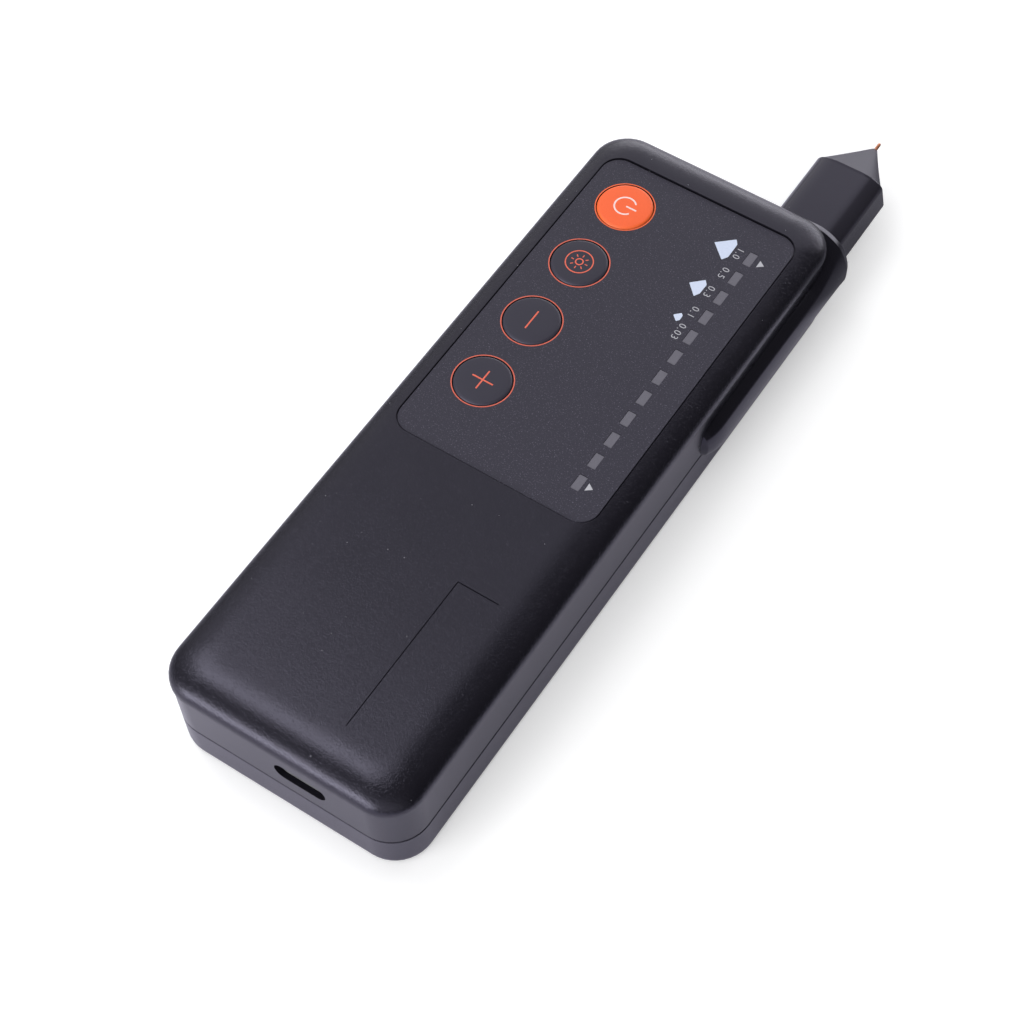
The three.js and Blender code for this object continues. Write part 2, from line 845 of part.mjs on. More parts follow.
function spring() {
  const section = new THREE.Shape(Array.from({ length: springSides }, (_, side) => {
    const angle = side / springSides * fullTurn;
    return new THREE.Vector2(springWire * Math.cos(angle), springWire * Math.sin(angle));
  }));
  return new THREE.ExtrudeGeometry(section, {
    steps: springTurns * springStepsPerTurn,
    extrudePath: new SpringPath(),
    bevelEnabled: false,
  });
}

function at(mesh, x, y, z = 0) {
  mesh.position.set(x, y, z);
  return mesh;
}

// Shells, film and screws
function caseGroup() {
  const group = new THREE.Group();
  group.add(piece('top_housing', topHousing(), 'caseTop'));
  group.add(piece('bottom_housing', bottomHousing(), 'caseBottom'));
  group.add(piece('panel_overlay', panelFilm(), 'film'));
  bossPlaces.forEach(([x, y], row) => {
    group.add(at(piece(`housing_screw_${row + 1}`, caseScrew(), 'steel'), x, y));
  });
  return group;
}

// Keys with the switches under them
function keyGroup() {
  const group = new THREE.Group();
  keyPlaces().forEach(({ name, y }) => {
    const finish = name === 'power' ? 'orangeKey' : 'darkKey';
    group.add(at(piece(`key_${name}`, keyCap(), finish), keyX, y));
    group.add(at(piece(`switch_plunger_${name}`, plunger(), 'paleInsulator'), keyX, y));
    group.add(at(piece(`switch_body_${name}`, switchBody(), 'blackPart'), keyX, y));
  });
  return group;
}

// Indicator lamps with the baffle and light guide over them
function lampGroup() {
  const group = new THREE.Group();
  group.add(piece('light_guide', lightGuide(), 'smoked'));
  group.add(piece('light_baffle', lightBaffle(), 'blackPart'));
  windowPlaces().forEach((y, row) => {
    const name = `led_${String(row + 1).padStart(2, '0')}`;
    const shape = block(ledWidth, ledLength, boardTop, boardTop + ledHeight);
    group.add(at(piece(name, shape, 'paleLamp'), windowX, y));
  });
  return group;
}

// Circuit board, chips, buzzer, charging socket and the violet lamp
function boardGroup() {
  const group = new THREE.Group();
  const controlTop = boardTop + controlChipHeight;
  const buzzerBottom = floorTop + buzzerFloorGap;
  const chipTop = boardTop + smallChipHeight;
  const chipBottom = boardBottom - smallChipHeight;
  group.add(piece('main_pcb', circuitBoard(), 'board'));
  group.add(at(
    piece('control_chip', block(controlChipWidth, controlChipWidth, boardTop, controlTop), 'blackPart'),
    controlChipX,
    headY - controlChipHeadInset,
  ));
  group.add(at(
    piece('charge_chip', block(smallChipWidth, smallChipLength, boardTop, chipTop), 'blackPart'),
    socketX,
    tailY + chargeChipTailInset,
  ));
  group.add(at(
    piece('charge_coil', block(coilWidth, coilWidth, boardTop, boardTop + coilHeight), 'blackPart'),
    coilX,
    tailY + coilTailInset,
  ));
  group.add(at(
    piece('amplifier_chip', block(smallChipWidth, smallChipLength, chipBottom, boardBottom), 'blackPart'),
    amplifierX,
    headY - amplifierHeadInset,
  ));
  group.add(at(
    piece('buzzer', post(buzzerRadius, buzzerBottom, boardBottom, 0, 0, roundSides), 'blackPart'),
    buzzerX,
    headY - buzzerHeadInset,
  ));
  group.add(piece('usb_socket_shell', socketShell(), 'steel'));
  group.add(piece('usb_socket_tongue', socketTongue(), 'blackPart'));
  return group;
}

function violetGroup() {
  const group = new THREE.Group();
  group.position.set(violetX, headY + violetProud, violetHeight);
  group.add(piece('uv_lamp', violetLamp(), 'violetLamp'));
  [-1, 1].forEach((side, row) => {
    const tail = boardHeadY - headY - violetProud - legOnBoard;
    const leg = rod(legRadius, tail, -violetLength - legGap, side * legSpacing / 2, -legDrop, wireSides);
    group.add(piece(`uv_lamp_leg_${row + 1}`, leg, 'steel'));
  });
  return group;
}

// Cell on its foam pad, with its plug under the board
function powerGroup() {
  const group = new THREE.Group();
  const outline = centredOutline(cellWidth, cellHeadY - cellTailY, cellCorner);
  const cellY = (cellHeadY + cellTailY) / 2;
  const plugZ = (plugBottom + boardBottom) / 2;
  const plugTail = cellHeadY + cellPlugGap;
  group.add(at(piece('battery_cell', plate(outline, cellBottom, cellTop), 'cell'), 0, cellY));
  group.add(at(piece('battery_pad', plate(outline, floorTop, cellBottom), 'foam'), 0, cellY));
  group.add(at(
    piece('battery_plug', block(plugWidth, plugLength, plugBottom, boardBottom), 'paleInsulator'),
    0,
    plugTail + plugLength / 2,
  ));
  const [lowBend, highBend] = leadBendShares;
  ['red', 'black'].forEach((colour, row) => {
    const x = (row - 1 / 2) * leadSpacing;
    const cellZ = (cellBottom + cellTop) / 2;
    const shape = lead([
      new THREE.Vector3(x, cellHeadY + leadGap, cellZ),
      new THREE.Vector3(x, cellHeadY + cellPlugGap * lowBend, cellZ),
      new THREE.Vector3(x, cellHeadY + cellPlugGap * highBend, plugZ),
      new THREE.Vector3(x, plugTail - leadGap, plugZ),
    ]);
    group.add(piece(`battery_lead_${colour}`, shape, `${colour}Lead`));
  });
  return group;
}

// Probe pieces, with the moving ones placed on the probe's axis
function probeGroup() {
  const group = new THREE.Group();
  const axis = new THREE.Group();
  axis.position.set(probeX, headY, probeHeight);
  group.add(piece('probe_sleeve', probeSleeve(), 'sleeve'));
  group.add(piece('probe_nose', probeNose(), 'nose'));
  group.add(piece('probe_carrier', probeCarrier(), 'paleInsulator'));
  axis.add(piece('probe_end_plug', endPlug(), 'paleInsulator'));
  axis.add(piece('probe_needle', needle(), 'copper'));
  axis.add(piece('probe_heater', heater(), 'blackPart'));
  axis.add(piece('probe_spring', spring(), 'steel'));
  group.add(axis);
  return group;
}

// Leads from the probe's end plug to their plug under the board
function probeLeadGroup() {
  const group = new THREE.Group();
  const plugHead = boardHeadY - plugLength;
  const plugZ = (plugBottom + boardBottom) / 2;
  const exitZ = probeHeight - leadRadius - leadGap;
  group.add(at(
    piece('probe_plug', block(plugWidth, plugLength, plugBottom, boardBottom), 'paleInsulator'),
    probeX,
    plugHead - plugLength / 2,
  ));
  ['red', 'black'].forEach((colour, row) => {
    const x = probeX + (row - 1 / 2) * leadSpacing;
    const shape = lead([
      new THREE.Vector3(x, headY + carrierTail - leadGap, exitZ),
      new THREE.Vector3(x, headY + spigotEndY, exitZ),
      new THREE.Vector3(x, boardHeadY - plugLength / 2, plugZ),
      new THREE.Vector3(x, plugHead + leadGap, plugZ),
    ]);
    group.add(piece(`probe_lead_${colour}`, shape, `${colour}Lead`));
  });
  return group;
}

const diamondTester = new THREE.Group();
diamondTester.add(caseGroup());
diamondTester.add(keyGroup());
diamondTester.add(lampGroup());
diamondTester.add(boardGroup());
diamondTester.add(violetGroup());
diamondTester.add(powerGroup());
diamondTester.add(probeGroup());
diamondTester.add(probeLeadGroup());

export default diamondTester;
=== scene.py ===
"""The looks of a hand-held diamond tester that lies on its back.

Sizes are in millimetres in the classes and become metres where a mesh is made. +X is the side that
the probe sits on, +Y points to the probe's tip and +Z is up, out of the key panel.
"""

import logging
import math
from dataclasses import dataclass
from enum import Enum
from typing import Any, Callable, Iterable

import bmesh
import bpy
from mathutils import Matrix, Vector


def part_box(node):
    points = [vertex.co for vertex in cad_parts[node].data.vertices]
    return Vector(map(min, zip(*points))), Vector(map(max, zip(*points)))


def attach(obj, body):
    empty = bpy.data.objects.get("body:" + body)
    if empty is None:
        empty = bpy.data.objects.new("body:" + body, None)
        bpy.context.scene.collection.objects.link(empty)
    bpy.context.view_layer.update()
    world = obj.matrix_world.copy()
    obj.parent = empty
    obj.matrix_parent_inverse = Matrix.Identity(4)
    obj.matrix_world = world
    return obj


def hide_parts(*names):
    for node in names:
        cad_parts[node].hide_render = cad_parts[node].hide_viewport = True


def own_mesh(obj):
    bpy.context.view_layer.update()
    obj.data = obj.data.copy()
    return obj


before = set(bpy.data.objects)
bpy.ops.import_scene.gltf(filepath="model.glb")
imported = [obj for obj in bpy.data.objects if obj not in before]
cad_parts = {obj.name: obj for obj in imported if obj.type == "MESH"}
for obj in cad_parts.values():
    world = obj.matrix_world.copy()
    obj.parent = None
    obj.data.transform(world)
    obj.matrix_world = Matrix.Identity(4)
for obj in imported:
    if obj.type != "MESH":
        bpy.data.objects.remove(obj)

LOG = logging.getLogger("tester")
MM = 0.001
NEAR = 1e-6
MERGE = 2e-6
BOX_CORNERS = ((0, 2), (1, 2), (1, 3), (0, 3))

Piece = bpy.types.Object
Place = tuple[float, float, float]
Flat = tuple[float, float]
Box = tuple[float, float, float, float]
Colour = tuple[float, float, float]


def vector(place: Iterable[float]) -> Vector:
    """A place in millimetres as a vector in metres."""
    return Vector([value * MM for value in place])


def around(x: float, y: float, wide: float, long: float) -> Box:
    """The sides of a box round a middle, from half of its width and half of its length."""
    return x - wide, x + wide, y - long, y + long


def quarter(steps: int) -> list[Flat]:
    """The cosines and sines of a quarter turn, in equal steps."""
    angles = [step / steps * math.pi / 2 for step in range(steps + 1)]
    return [(math.cos(angle), math.sin(angle)) for angle in angles]


def arcs(corners: list[Flat], wide: list[float], high: list[float], steps: int) -> list[Flat]:
    """The outline of a shape with four rounded corners, from the upper right one on.

    Args:
        corners: The middle of each rounding.
        wide: How far each rounding reaches across.
        high: How far each rounding reaches up or down.
        steps: The number of edges in each corner.

    Returns:
        The outline's places.
    """
    places = []
    for number, (x, z) in enumerate(corners):
        for step in range(steps + 1):
            angle = (number + step / steps) * math.pi / 2
            places.append((x + wide[number] * math.cos(angle), z + high[number] * math.sin(angle)))
    return places


def written(red: int, green: int, blue: int) -> Colour:
    """A colour as a picture states it, from 0 to 255, as the linear value that a shader takes."""
    shares = [value / 255 for value in (red, green, blue)]
    return tuple(((share + 0.055) / 1.055) ** 2.4 for share in shares)


def shaded(colour: Colour, factor: float, lift: float = 0.0) -> Colour:
    """A colour made darker or paler, with no channel above 1."""
    return tuple(min(1.0, value * factor + lift) for value in colour)


class Cut(Enum):
    """What a tool does to the piece that it meets."""

    AWAY = "DIFFERENCE"
    ON = "UNION"
    KEEP = "INTERSECT"


class Axis(Enum):
    """The axis that a form is turned round or drawn along."""

    ALONG = 1
    UP = 2


class Element(Enum):
    """What is picked in edit mode."""

    CORNERS = "VERT"
    EDGES = "EDGE"


def only(piece: Piece) -> None:
    """Select one object alone and make it the active one.

    Args:
        piece: The object.
    """
    bpy.ops.object.select_all(action="DESELECT")
    piece.select_set(True)
    bpy.context.view_layer.objects.active = piece


def edit(piece: Piece) -> None:
    """Enter edit mode on one object."""
    only(piece)
    bpy.ops.object.mode_set(mode="EDIT")


def whole() -> None:
    """Select all of the mesh that is being edited."""
    bpy.ops.mesh.select_all(action="SELECT")


def bare(piece: Piece) -> None:
    """Enter edit mode and take away the faces, but not their edges, which end up selected.

    Args:
        piece: The object.
    """
    edit(piece)
    whole()
    bpy.ops.mesh.delete(type="ONLY_FACE")
    whole()


def leave() -> None:
    """Go back to object mode."""
    bpy.ops.object.mode_set(mode="OBJECT")


def leave_outward() -> None:
    """Turn every face outward and go back to object mode."""
    whole()
    bpy.ops.mesh.normals_make_consistent(inside=False)
    leave()


def pick(piece: Piece, test: Callable[[Vector], bool], element: Element = Element.CORNERS) -> None:
    """In edit mode, select the corners or edges whose middle passes a test.

    Args:
        piece: The object in edit mode, its mesh in world places.
        test: Takes a place in metres and says whether it is wanted.
        element: What is picked.
    """
    bpy.ops.mesh.select_mode(type=element.value)
    bpy.ops.mesh.select_all(action="DESELECT")
    mesh = bmesh.from_edit_mesh(piece.data)
    corners = element is Element.CORNERS
    for part in mesh.verts if corners else mesh.edges:
        middle = part.co if corners else (part.verts[0].co + part.verts[1].co) / 2
        if test(piece.matrix_world @ middle):
            part.select_set(True)
    mesh.select_flush_mode()
    bmesh.update_edit_mesh(piece.data)


def modified(piece: Piece, kind: str, **settings: Any) -> Piece:
    """Give an object a modifier and apply it.

    Args:
        piece: The object.
        kind: The modifier's type.
        settings: The modifier's settings.

    Returns:
        The same object.
    """
    only(piece)
    modifier = piece.modifiers.new(kind.lower(), kind)
    for name, value in settings.items():
        setattr(modifier, name, value)
    bpy.ops.object.modifier_apply(modifier=modifier.name)
    return piece


def settle(piece: Piece, angle: float = 30.0, weighted: bool = True) -> Piece:
    """Close a finished mesh: doubles merged, faces outward, place in its mesh, smooth by angle.

    Args:
        piece: The object to finish.
        angle: The edge angle in degrees past which shading stays sharp.
        weighted: Whether large faces pull the normals to themselves.

    Returns:
        The same object.
    """
    edit(piece)
    whole()
    bpy.ops.mesh.remove_doubles(threshold=MERGE)
    leave_outward()
    only(piece)
    bpy.ops.object.transform_apply(location=True, rotation=True, scale=True)
    bpy.ops.object.shade_smooth_by_angle(angle=math.radians(angle))
    return modified(piece, "WEIGHTED_NORMAL", keep_sharp=True, weight=80) if weighted else piece


def carve(piece: Piece, tool: Piece, cut: Cut = Cut.AWAY) -> Piece:
    """Cut a tool out of a piece, join it on, or keep what both share; the tool is used up.

    Args:
        piece: The object that stays.
        tool: The object that cuts.
        cut: What the tool does.

    Returns:
        The piece.
    """
    modified(piece, "BOOLEAN", operation=cut.value, solver="EXACT", object=tool)
    bpy.data.objects.remove(tool, do_unlink=True)
    return piece


def together(pieces: list[Piece], name: str) -> Piece:
    """Join objects into one, the first of them kept and renamed.

    Args:
        pieces: The objects.
        name: The name of the whole.

    Returns:
        The one object.
    """
    only(pieces[0])
    for piece in pieces[1:]:
        piece.select_set(True)
    if len(pieces) > 1:
        bpy.ops.object.join()
    pieces[0].name = name
    return pieces[0]


def twin(piece: Piece, name: str, step: Place) -> Piece:
    """A copy with its own mesh, moved by a step that ends up in the mesh.

    Args:
        piece: The object to copy.
        name: The copy's name.
        step: How far it is moved.

    Returns:
        The copy.
    """
    only(piece)
    bpy.ops.object.duplicate(linked=False)
    copy = bpy.context.object
    copy.name = name
    copy.location = vector(step)
    bpy.ops.object.transform_apply(location=True, rotation=True, scale=True)
    return copy


def face_of(name: str, corners: list[Place]) -> Piece:
    """A flat face whose corners are moved one by one to their places.

    Args:
        name: The object's name.
        corners: The corners in order.

    Returns:
        The object, in object mode.
    """
    bpy.ops.mesh.primitive_circle_add(vertices=len(corners), radius=MM, fill_type="NGON")
    piece = bpy.context.object
    piece.name = name
    edit(piece)
    bpy.ops.mesh.select_mode(type="VERT")
    for number, corner in enumerate(corners):
        mesh = bmesh.from_edit_mesh(piece.data)
        mesh.verts.ensure_lookup_table()
        for vertex in mesh.verts:
            vertex.select_set(vertex.index == number)
        bpy.ops.transform.translate(value=vector(corner) - mesh.verts[number].co)
    leave()
    return piece


def rounded(name: str, corners: list[Place], radius: float, steps: int = 8) -> Piece:
    """A flat face whose corners are rounded by bevels.

    Args:
        name: The object's name.
        corners: The sharp corners in order.
        radius: The radius of each rounding.
        steps: The number of edges in each rounding.

    Returns:
        The object, in object mode.
    """
    piece = face_of(name, corners)
    edit(piece)
    for corner in corners:
        goal = vector(corner)
        pick(piece, lambda place: (place - goal).length < NEAR)
        bpy.ops.mesh.bevel(offset=radius * MM, segments=steps, affect="VERTICES", profile=0.5)
    leave()
    return piece


def panel(name: str, box: Box, level: float, radius: float, steps: int, axis: Axis = Axis.UP) -> Piece:
    """A rounded rectangle that stands square to an axis.

    Args:
        name: The object's name.
        box: Its left and right sides, then its tail and head or its low and high sides.
        level: Its place on the axis.
        radius: The radius of its corners.
        steps: The number of edges in each corner.
        axis: The axis.

    Returns:
        The object, in object mode.
    """
    corners = [(box[side], box[end]) for side, end in BOX_CORNERS]
    places = [(x, other, level) if axis is Axis.UP else (x, level, other) for x, other in corners]
    return rounded(name, places, radius, steps)


def drawn(piece: Piece, stages: list[tuple[Place, ...]]) -> Piece:
    """Draw a flat face out into a solid, stage by stage.

    Args:
        piece: A flat face.
        stages: For each stage the step that the face moves and, where it is scaled after that, the
            scale and the place about which it is scaled.

    Returns:
        The closed solid, in object mode.
    """
    edit(piece)
    bpy.ops.mesh.select_mode(type="FACE")
    whole()
    for step, *scaled in stages:
        bpy.ops.mesh.extrude_region_move(TRANSFORM_OT_translate={"value": vector(step)})
        if scaled:
            bpy.ops.transform.resize(value=scaled[0], center_override=vector(scaled[1]))
    leave_outward()
    return piece


def raised(piece: Piece, height: float) -> Piece:
    """Draw a level face straight up into a plate."""
    return drawn(piece, [((0, 0, height),)])


def block(name: str, box: Box, span: Flat, radius: float, steps: int, axis: Axis = Axis.UP) -> Piece:
    """A block with rounded corners that runs along an axis.

    Args:
        name: The object's name.
        box: Its left and right sides, then its tail and head or its low and high sides.
        span: Where it starts on the axis, and its length.
        radius: The radius of its corners.
        steps: The number of edges in each corner.
        axis: The axis.

    Returns:
        The closed solid, in object mode.
    """
    start, length = span
    step = (0, 0, length) if axis is Axis.UP else (0, length, 0)
    return drawn(panel(name, box, start, radius, steps, axis), [(step,)])


def soft_plate(name: str, box: Box, span: Flat, radius: float, steps: int, soft: float) -> Piece:
    """A level plate with rounded corners, whose upper edge is drawn in.

    Args:
        name: The object's name.
        box: Its left, right, tail and head sides.
        span: Its lower and its upper height.
        radius: The radius of its corners.
        steps: The number of edges in each corner.
        soft: How far and how deep the edge is drawn in.

    Returns:
        The closed solid, in object mode.
    """
    left, right, tail, head = box
    scale = (1 - 2 * soft / (right - left), 1 - 2 * soft / (head - tail), 1)
    middle = ((left + right) / 2, (tail + head) / 2, 0)
    straight = (0, 0, span[1] - span[0] - soft)
    return drawn(panel(name, box, span[0], radius, steps), [(straight,), ((0, 0, soft), scale, middle)])


def bridged(name: str, rings: list[Piece], axis: Axis) -> Piece:
    """Bridge flat rings that follow each other along an axis into one closed skin.

    Args:
        name: The object's name.
        rings: Flat faces with equal numbers of corners, in order.
        axis: The axis along which they follow each other.

    Returns:
        The closed solid, in object mode.
    """
    run = axis.value
    levels = [sum(v.co[run] for v in ring.data.vertices) / len(ring.data.vertices) for ring in rings]
    piece = together(rings, name)
    bare(piece)
    for low, high in zip(levels, levels[1:]):
        pick(piece, lambda place: min(abs(place[run] - low), abs(place[run] - high)) < NEAR, Element.EDGES)
        bpy.ops.mesh.bridge_edge_loops()
    for level in (levels[0], levels[-1]):
        pick(piece, lambda place: abs(place[run] - level) < NEAR, Element.EDGES)
        bpy.ops.mesh.edge_face_add()
    leave_outward()
    return piece


def turned(name: str, profile: list[Flat], centre: Place, axis: Axis, steps: int = 48) -> Piece:
    """Spin a profile of radius and length round an axis.

    Args:
        name: The object's name.
        profile: Pairs of a radius and a place along the axis.
        centre: A place on the axis; its own value along the axis is added to the profile's.
        axis: The axis.
        steps: The number of sides.

    Returns:
        The closed solid, in object mode.
    """
    x, y, z = centre
    upward = axis is Axis.UP
    corners = [(x + r, y, z + run) if upward else (x + r, y + run, z) for r, run in profile]
    piece = face_of(name, corners)
    bare(piece)
    line = (0, 0, 1) if upward else (0, 1, 0)
    bpy.ops.mesh.spin(steps=steps, angle=2 * math.pi, center=vector(centre), axis=line)
    whole()
    bpy.ops.mesh.remove_doubles(threshold=MERGE)
    whole()
    bpy.ops.mesh.dissolve_degenerate(threshold=NEAR / 10)
    leave_outward()
    return piece


def rod(name: str, radius: float, length: float, start: Place, axis: Axis, steps: int = 32) -> Piece:
    """A plain round rod.

    Args:
        name: The object's name.
        radius: Its radius.
        length: Its length.
        start: The middle of its first end.
        axis: The axis that it lies along.
        steps: The number of sides.

    Returns:
        The closed solid, in object mode.
    """
    return turned(name, [(0, 0), (radius, 0), (radius, length), (0, length)], start, axis, steps)


class Wire:
    """A value in a shader tree that takes part in sums like a number."""

    def __init__(self, tree: "Tree", socket: bpy.types.NodeSocket) -> None:
        """Keep the tree and the socket that gives the value."""
        self.tree = tree
        self.socket = socket

    def sum(self, operation: str, first: Any, second: Any) -> "Wire":
        """One Math node on two values, each a number or a wire."""
        return self.tree.add("ShaderNodeMath", {"operation": operation}, {0: first, 1: second})

    def __add__(self, other: Any) -> "Wire":
        """Add."""
        return self.sum("ADD", self, other)

    def __sub__(self, other: Any) -> "Wire":
        """Take away."""
        return self.sum("SUBTRACT", self, other)

    def __rsub__(self, other: Any) -> "Wire":
        """Take this away from a number."""
        return self.sum("SUBTRACT", other, self)

    def __mul__(self, other: Any) -> "Wire":
        """Multiply."""
        return self.sum("MULTIPLY", self, other)

    def __gt__(self, other: Any) -> "Wire":
        """One where this is greater, else zero."""
        return self.sum("GREATER_THAN", self, other)

    def __lt__(self, other: Any) -> "Wire":
        """One where this is less, else zero."""
        return self.sum("LESS_THAN", self, other)

    def within(self, low: float, high: float) -> "Wire":
        """Rise smoothly from 0 to 1 between two values."""
        settings = {"interpolation_type": "SMOOTHSTEP", "clamp": True}
        return self.tree.add("ShaderNodeMapRange", settings, {0: self, 1: low, 2: high, 3: 0.0, 4: 1.0})


class Tree:
    """A material or world that is being wired."""

    def __init__(self, owner: bpy.types.ID) -> None:
        """Empty the owner's node tree.

        Args:
            owner: The material or world.
        """
        owner.use_nodes = True
        self.nodes = owner.node_tree.nodes
        self.links = owner.node_tree.links
        self.nodes.clear()

    def node(self, kind: str, settings: dict[str, Any], inputs: dict[Any, Any]) -> bpy.types.Node:
        """Add a node.

        Args:
            kind: The node's type.
            settings: Its own settings, set before its sockets.
            inputs: Values or wires for its sockets, by number or name.

        Returns:
            The node.
        """
        node = self.nodes.new(kind)
        for name, value in settings.items():
            setattr(node, name, value)
        for key, value in inputs.items():
            if isinstance(value, Wire):
                self.links.new(value.socket, node.inputs[key])
            else:
                node.inputs[key].default_value = value
        return node

    def add(self, kind: str, settings: dict[str, Any], inputs: dict[Any, Any], output: Any = 0) -> Wire:
        """Add a node and give one of its outputs."""
        return Wire(self, self.node(kind, settings, inputs).outputs[output])

    def place(self) -> Wire:
        """The place on the object, in metres."""
        return self.add("ShaderNodeTexCoord", {}, {}, "Object")

    def parts(self) -> tuple[Wire, Wire, Wire]:
        """The place on the object as three values, in millimetres."""
        node = self.node("ShaderNodeSeparateXYZ", {}, {0: self.place()})
        return tuple(Wire(self, node.outputs[number]) * 1000 for number in range(3))

    def noise(self, size: float, detail: float, stretch: Place = (1, 1, 1), **more: float) -> Wire:
        """Noise whose patches are about so many millimetres wide.

        Args:
            size: The patches' width in millimetres.
            detail: How many finer layers it has.
            stretch: Scale along each axis before the noise is read.
            more: The node's other inputs, by name.

        Returns:
            A value from 0 to 1.
        """
        where = self.add("ShaderNodeMapping", {}, {0: self.place(), 3: stretch})
        inputs = {"Vector": where, "Scale": 1 / (size * MM), "Detail": detail, **more}
        return self.add("ShaderNodeTexNoise", {}, inputs)

    def cells(self, size: float) -> Wire:
        """Distance within cells that are about so many millimetres wide."""
        return self.add("ShaderNodeTexVoronoi", {}, {"Vector": self.place(), "Scale": 1 / (size * MM)})

    def mix(self, share: Any, first: Any, second: Any) -> Wire:
        """Blend two colours.

        Args:
            share: How much of the second shows.
            first: A colour or a wire.
            second: A colour or a wire.

        Returns:
            The blended colour.
        """
        one, two = (value if isinstance(value, Wire) else (*value, 1) for value in (first, second))
        return self.add("ShaderNodeMix", {"data_type": "RGBA"}, {0: share, 6: one, 7: two}, 2)

    def bump(self, height: Wire, depth: float) -> Wire:
        """A normal from a height map from 0 to 1 that stands for so many millimetres."""
        return self.add("ShaderNodeBump", {}, {"Height": height, "Distance": depth * MM})

    def direct(self) -> Wire:
        """Tell what the camera sees, also through clear pieces, from what only gives light.

        Returns:
            One for the camera's own rays, zero for all others.
        """
        path = self.node("ShaderNodeLightPath", {}, {})
        seen, through = (Wire(self, path.outputs[name]) for name in ("Is Camera Ray", "Is Transmission Ray"))
        return seen.sum("MAXIMUM", seen, through)


@dataclass(frozen=True)
class Finish:
    """A named finish: its slot name, how it shines, and a mottle of its colour, shine and relief."""

    name: str
    slot: str
    colour: Colour
    roughness: float = 0.5
    metallic: float = 0.0
    ior: float = 1.5
    tint: Colour = (1.0, 1.0, 1.0)
    patch: float = 2.5
    layers: float = 3.0
    stretch: Place = (1, 1, 1)
    harsh: float = 0.5
    dark: float = 0.82
    spread: float = 0.1
    drop: float = 0.05
    relief: float = 0.0

    def vary(self, tree: Tree) -> dict[str, Any]:
        """What changes over the surface: one soft noise in the colour, the shine and the relief.

        Args:
            tree: The tree to wire.

        Returns:
            Values for the shader's sockets, by name.
        """
        cloud = tree.noise(self.patch, self.layers, self.stretch, Roughness=self.harsh)
        values = {
            "Base Color": tree.mix(cloud, shaded(self.colour, self.dark), self.colour),
            "Roughness": cloud * self.spread + (self.roughness - self.drop),
        }
        if self.relief:
            values["Normal"] = tree.bump(cloud, self.relief)
        return values

    def material(self) -> bpy.types.Material:
        """The finish as a material, made once.

        Returns:
            The material of this name.
        """
        known = bpy.data.materials.get(self.name)
        if known:
            return known
        made = bpy.data.materials.new(self.name)
        tree = Tree(made)
        inputs = {"Metallic": self.metallic, "IOR": self.ior, "Specular Tint": (*self.tint, 1)}
        inputs.update({"Roughness": self.roughness, **self.vary(tree)})
        shader = tree.add("ShaderNodeBsdfPrincipled", {}, inputs)
        tree.node("ShaderNodeOutputMaterial", {}, {"Surface": shader})
        return made


@dataclass(frozen=True)
class SmokedWindow(Finish):
    """Translucent plastic with a fine frosted face."""

    patch: float = 0.25
    layers: float = 2.0
    harsh: float = 0.7
    dark: float = 0.7
    spread: float = 0.15
    drop: float = 0.07
    relief: float = 0.008


@dataclass(frozen=True)
class Foil(Finish):
    """Crinkled foil pouch, with a clouded shine."""

    patch: float = 3.2
    stretch: Place = (1, 0.4, 1)
    dark: float = 0.85
    spread: float = 0.25
    drop: float = 0.1
    relief: float = 0.12


@dataclass(frozen=True)
class ScreenPrint(Finish):
    """Ink laid on by a screen: even, with the slightest mottle and a grain of its own."""

    patch: float = 0.35
    layers: float = 2.0
    dark: float = 0.88
    grain: float = 0.004

    def vary(self, tree: Tree) -> dict[str, Any]:
        """The mottle that every finish has, and the finer grain.

        Args:
            tree: The tree to wire.

        Returns:
            Values for the shader's sockets, by name.
        """
        return {**super().vary(tree), "Normal": tree.bump(tree.noise(0.2, 1), self.grain)}


@dataclass(frozen=True)
class MouldedPlastic(Finish):
    """Black satin plastic: smooth walls, a wavy mould grain on the domed face, a few dust specks."""

    grain: float = 0.34
    depth: float = 0.052
    flat: float = 0.4
    fine: float = 0.12
    specks: float = 0.9
    smooth: float = 0.02
    face: Place = (22.7, 64.7, 17.3)
    dust: Colour = (0.35, 0.35, 0.38)

    def on_face(self, tree: Tree) -> Wire:
        """One on the dome, less on its flat middle, zero on the walls, the collar and the rail.

        Args:
            tree: The tree to wire.

        Returns:
            A value from 0 to 1.
        """
        side, head, crease = self.face
        across, along, up = tree.parts()
        inside = (across < side) * (along < head)
        level = up.within(crease + 3.1, crease + 3.65) * (1 - self.flat)
        return inside * up.within(crease - 0.03, crease + 0.05) * (1 - level)

    def vary(self, tree: Tree) -> dict[str, Any]:
        """Wavy grain, finer grain on it, soft clouds in the shine and rare pale specks.

        Args:
            tree: The tree to wire.

        Returns:
            Values for the shader's sockets, by name.
        """
        face = self.on_face(tree)
        wave = tree.noise(self.grain, 1.0, Roughness=0.4, Distortion=1.4)
        cloud = tree.noise(9, 2)
        speck = (tree.cells(2.3) < 0.03) * self.specks
        clouded = tree.mix(cloud, self.colour, shaded(self.colour, 1.15))
        return {
            "Base Color": tree.mix(speck, clouded, self.dust),
            "Roughness": cloud * 0.06 + (1 - face) * self.smooth + (self.roughness - 0.03),
            "Normal": tree.bump(wave * face + tree.noise(0.2, 1) * self.fine, self.depth),
        }


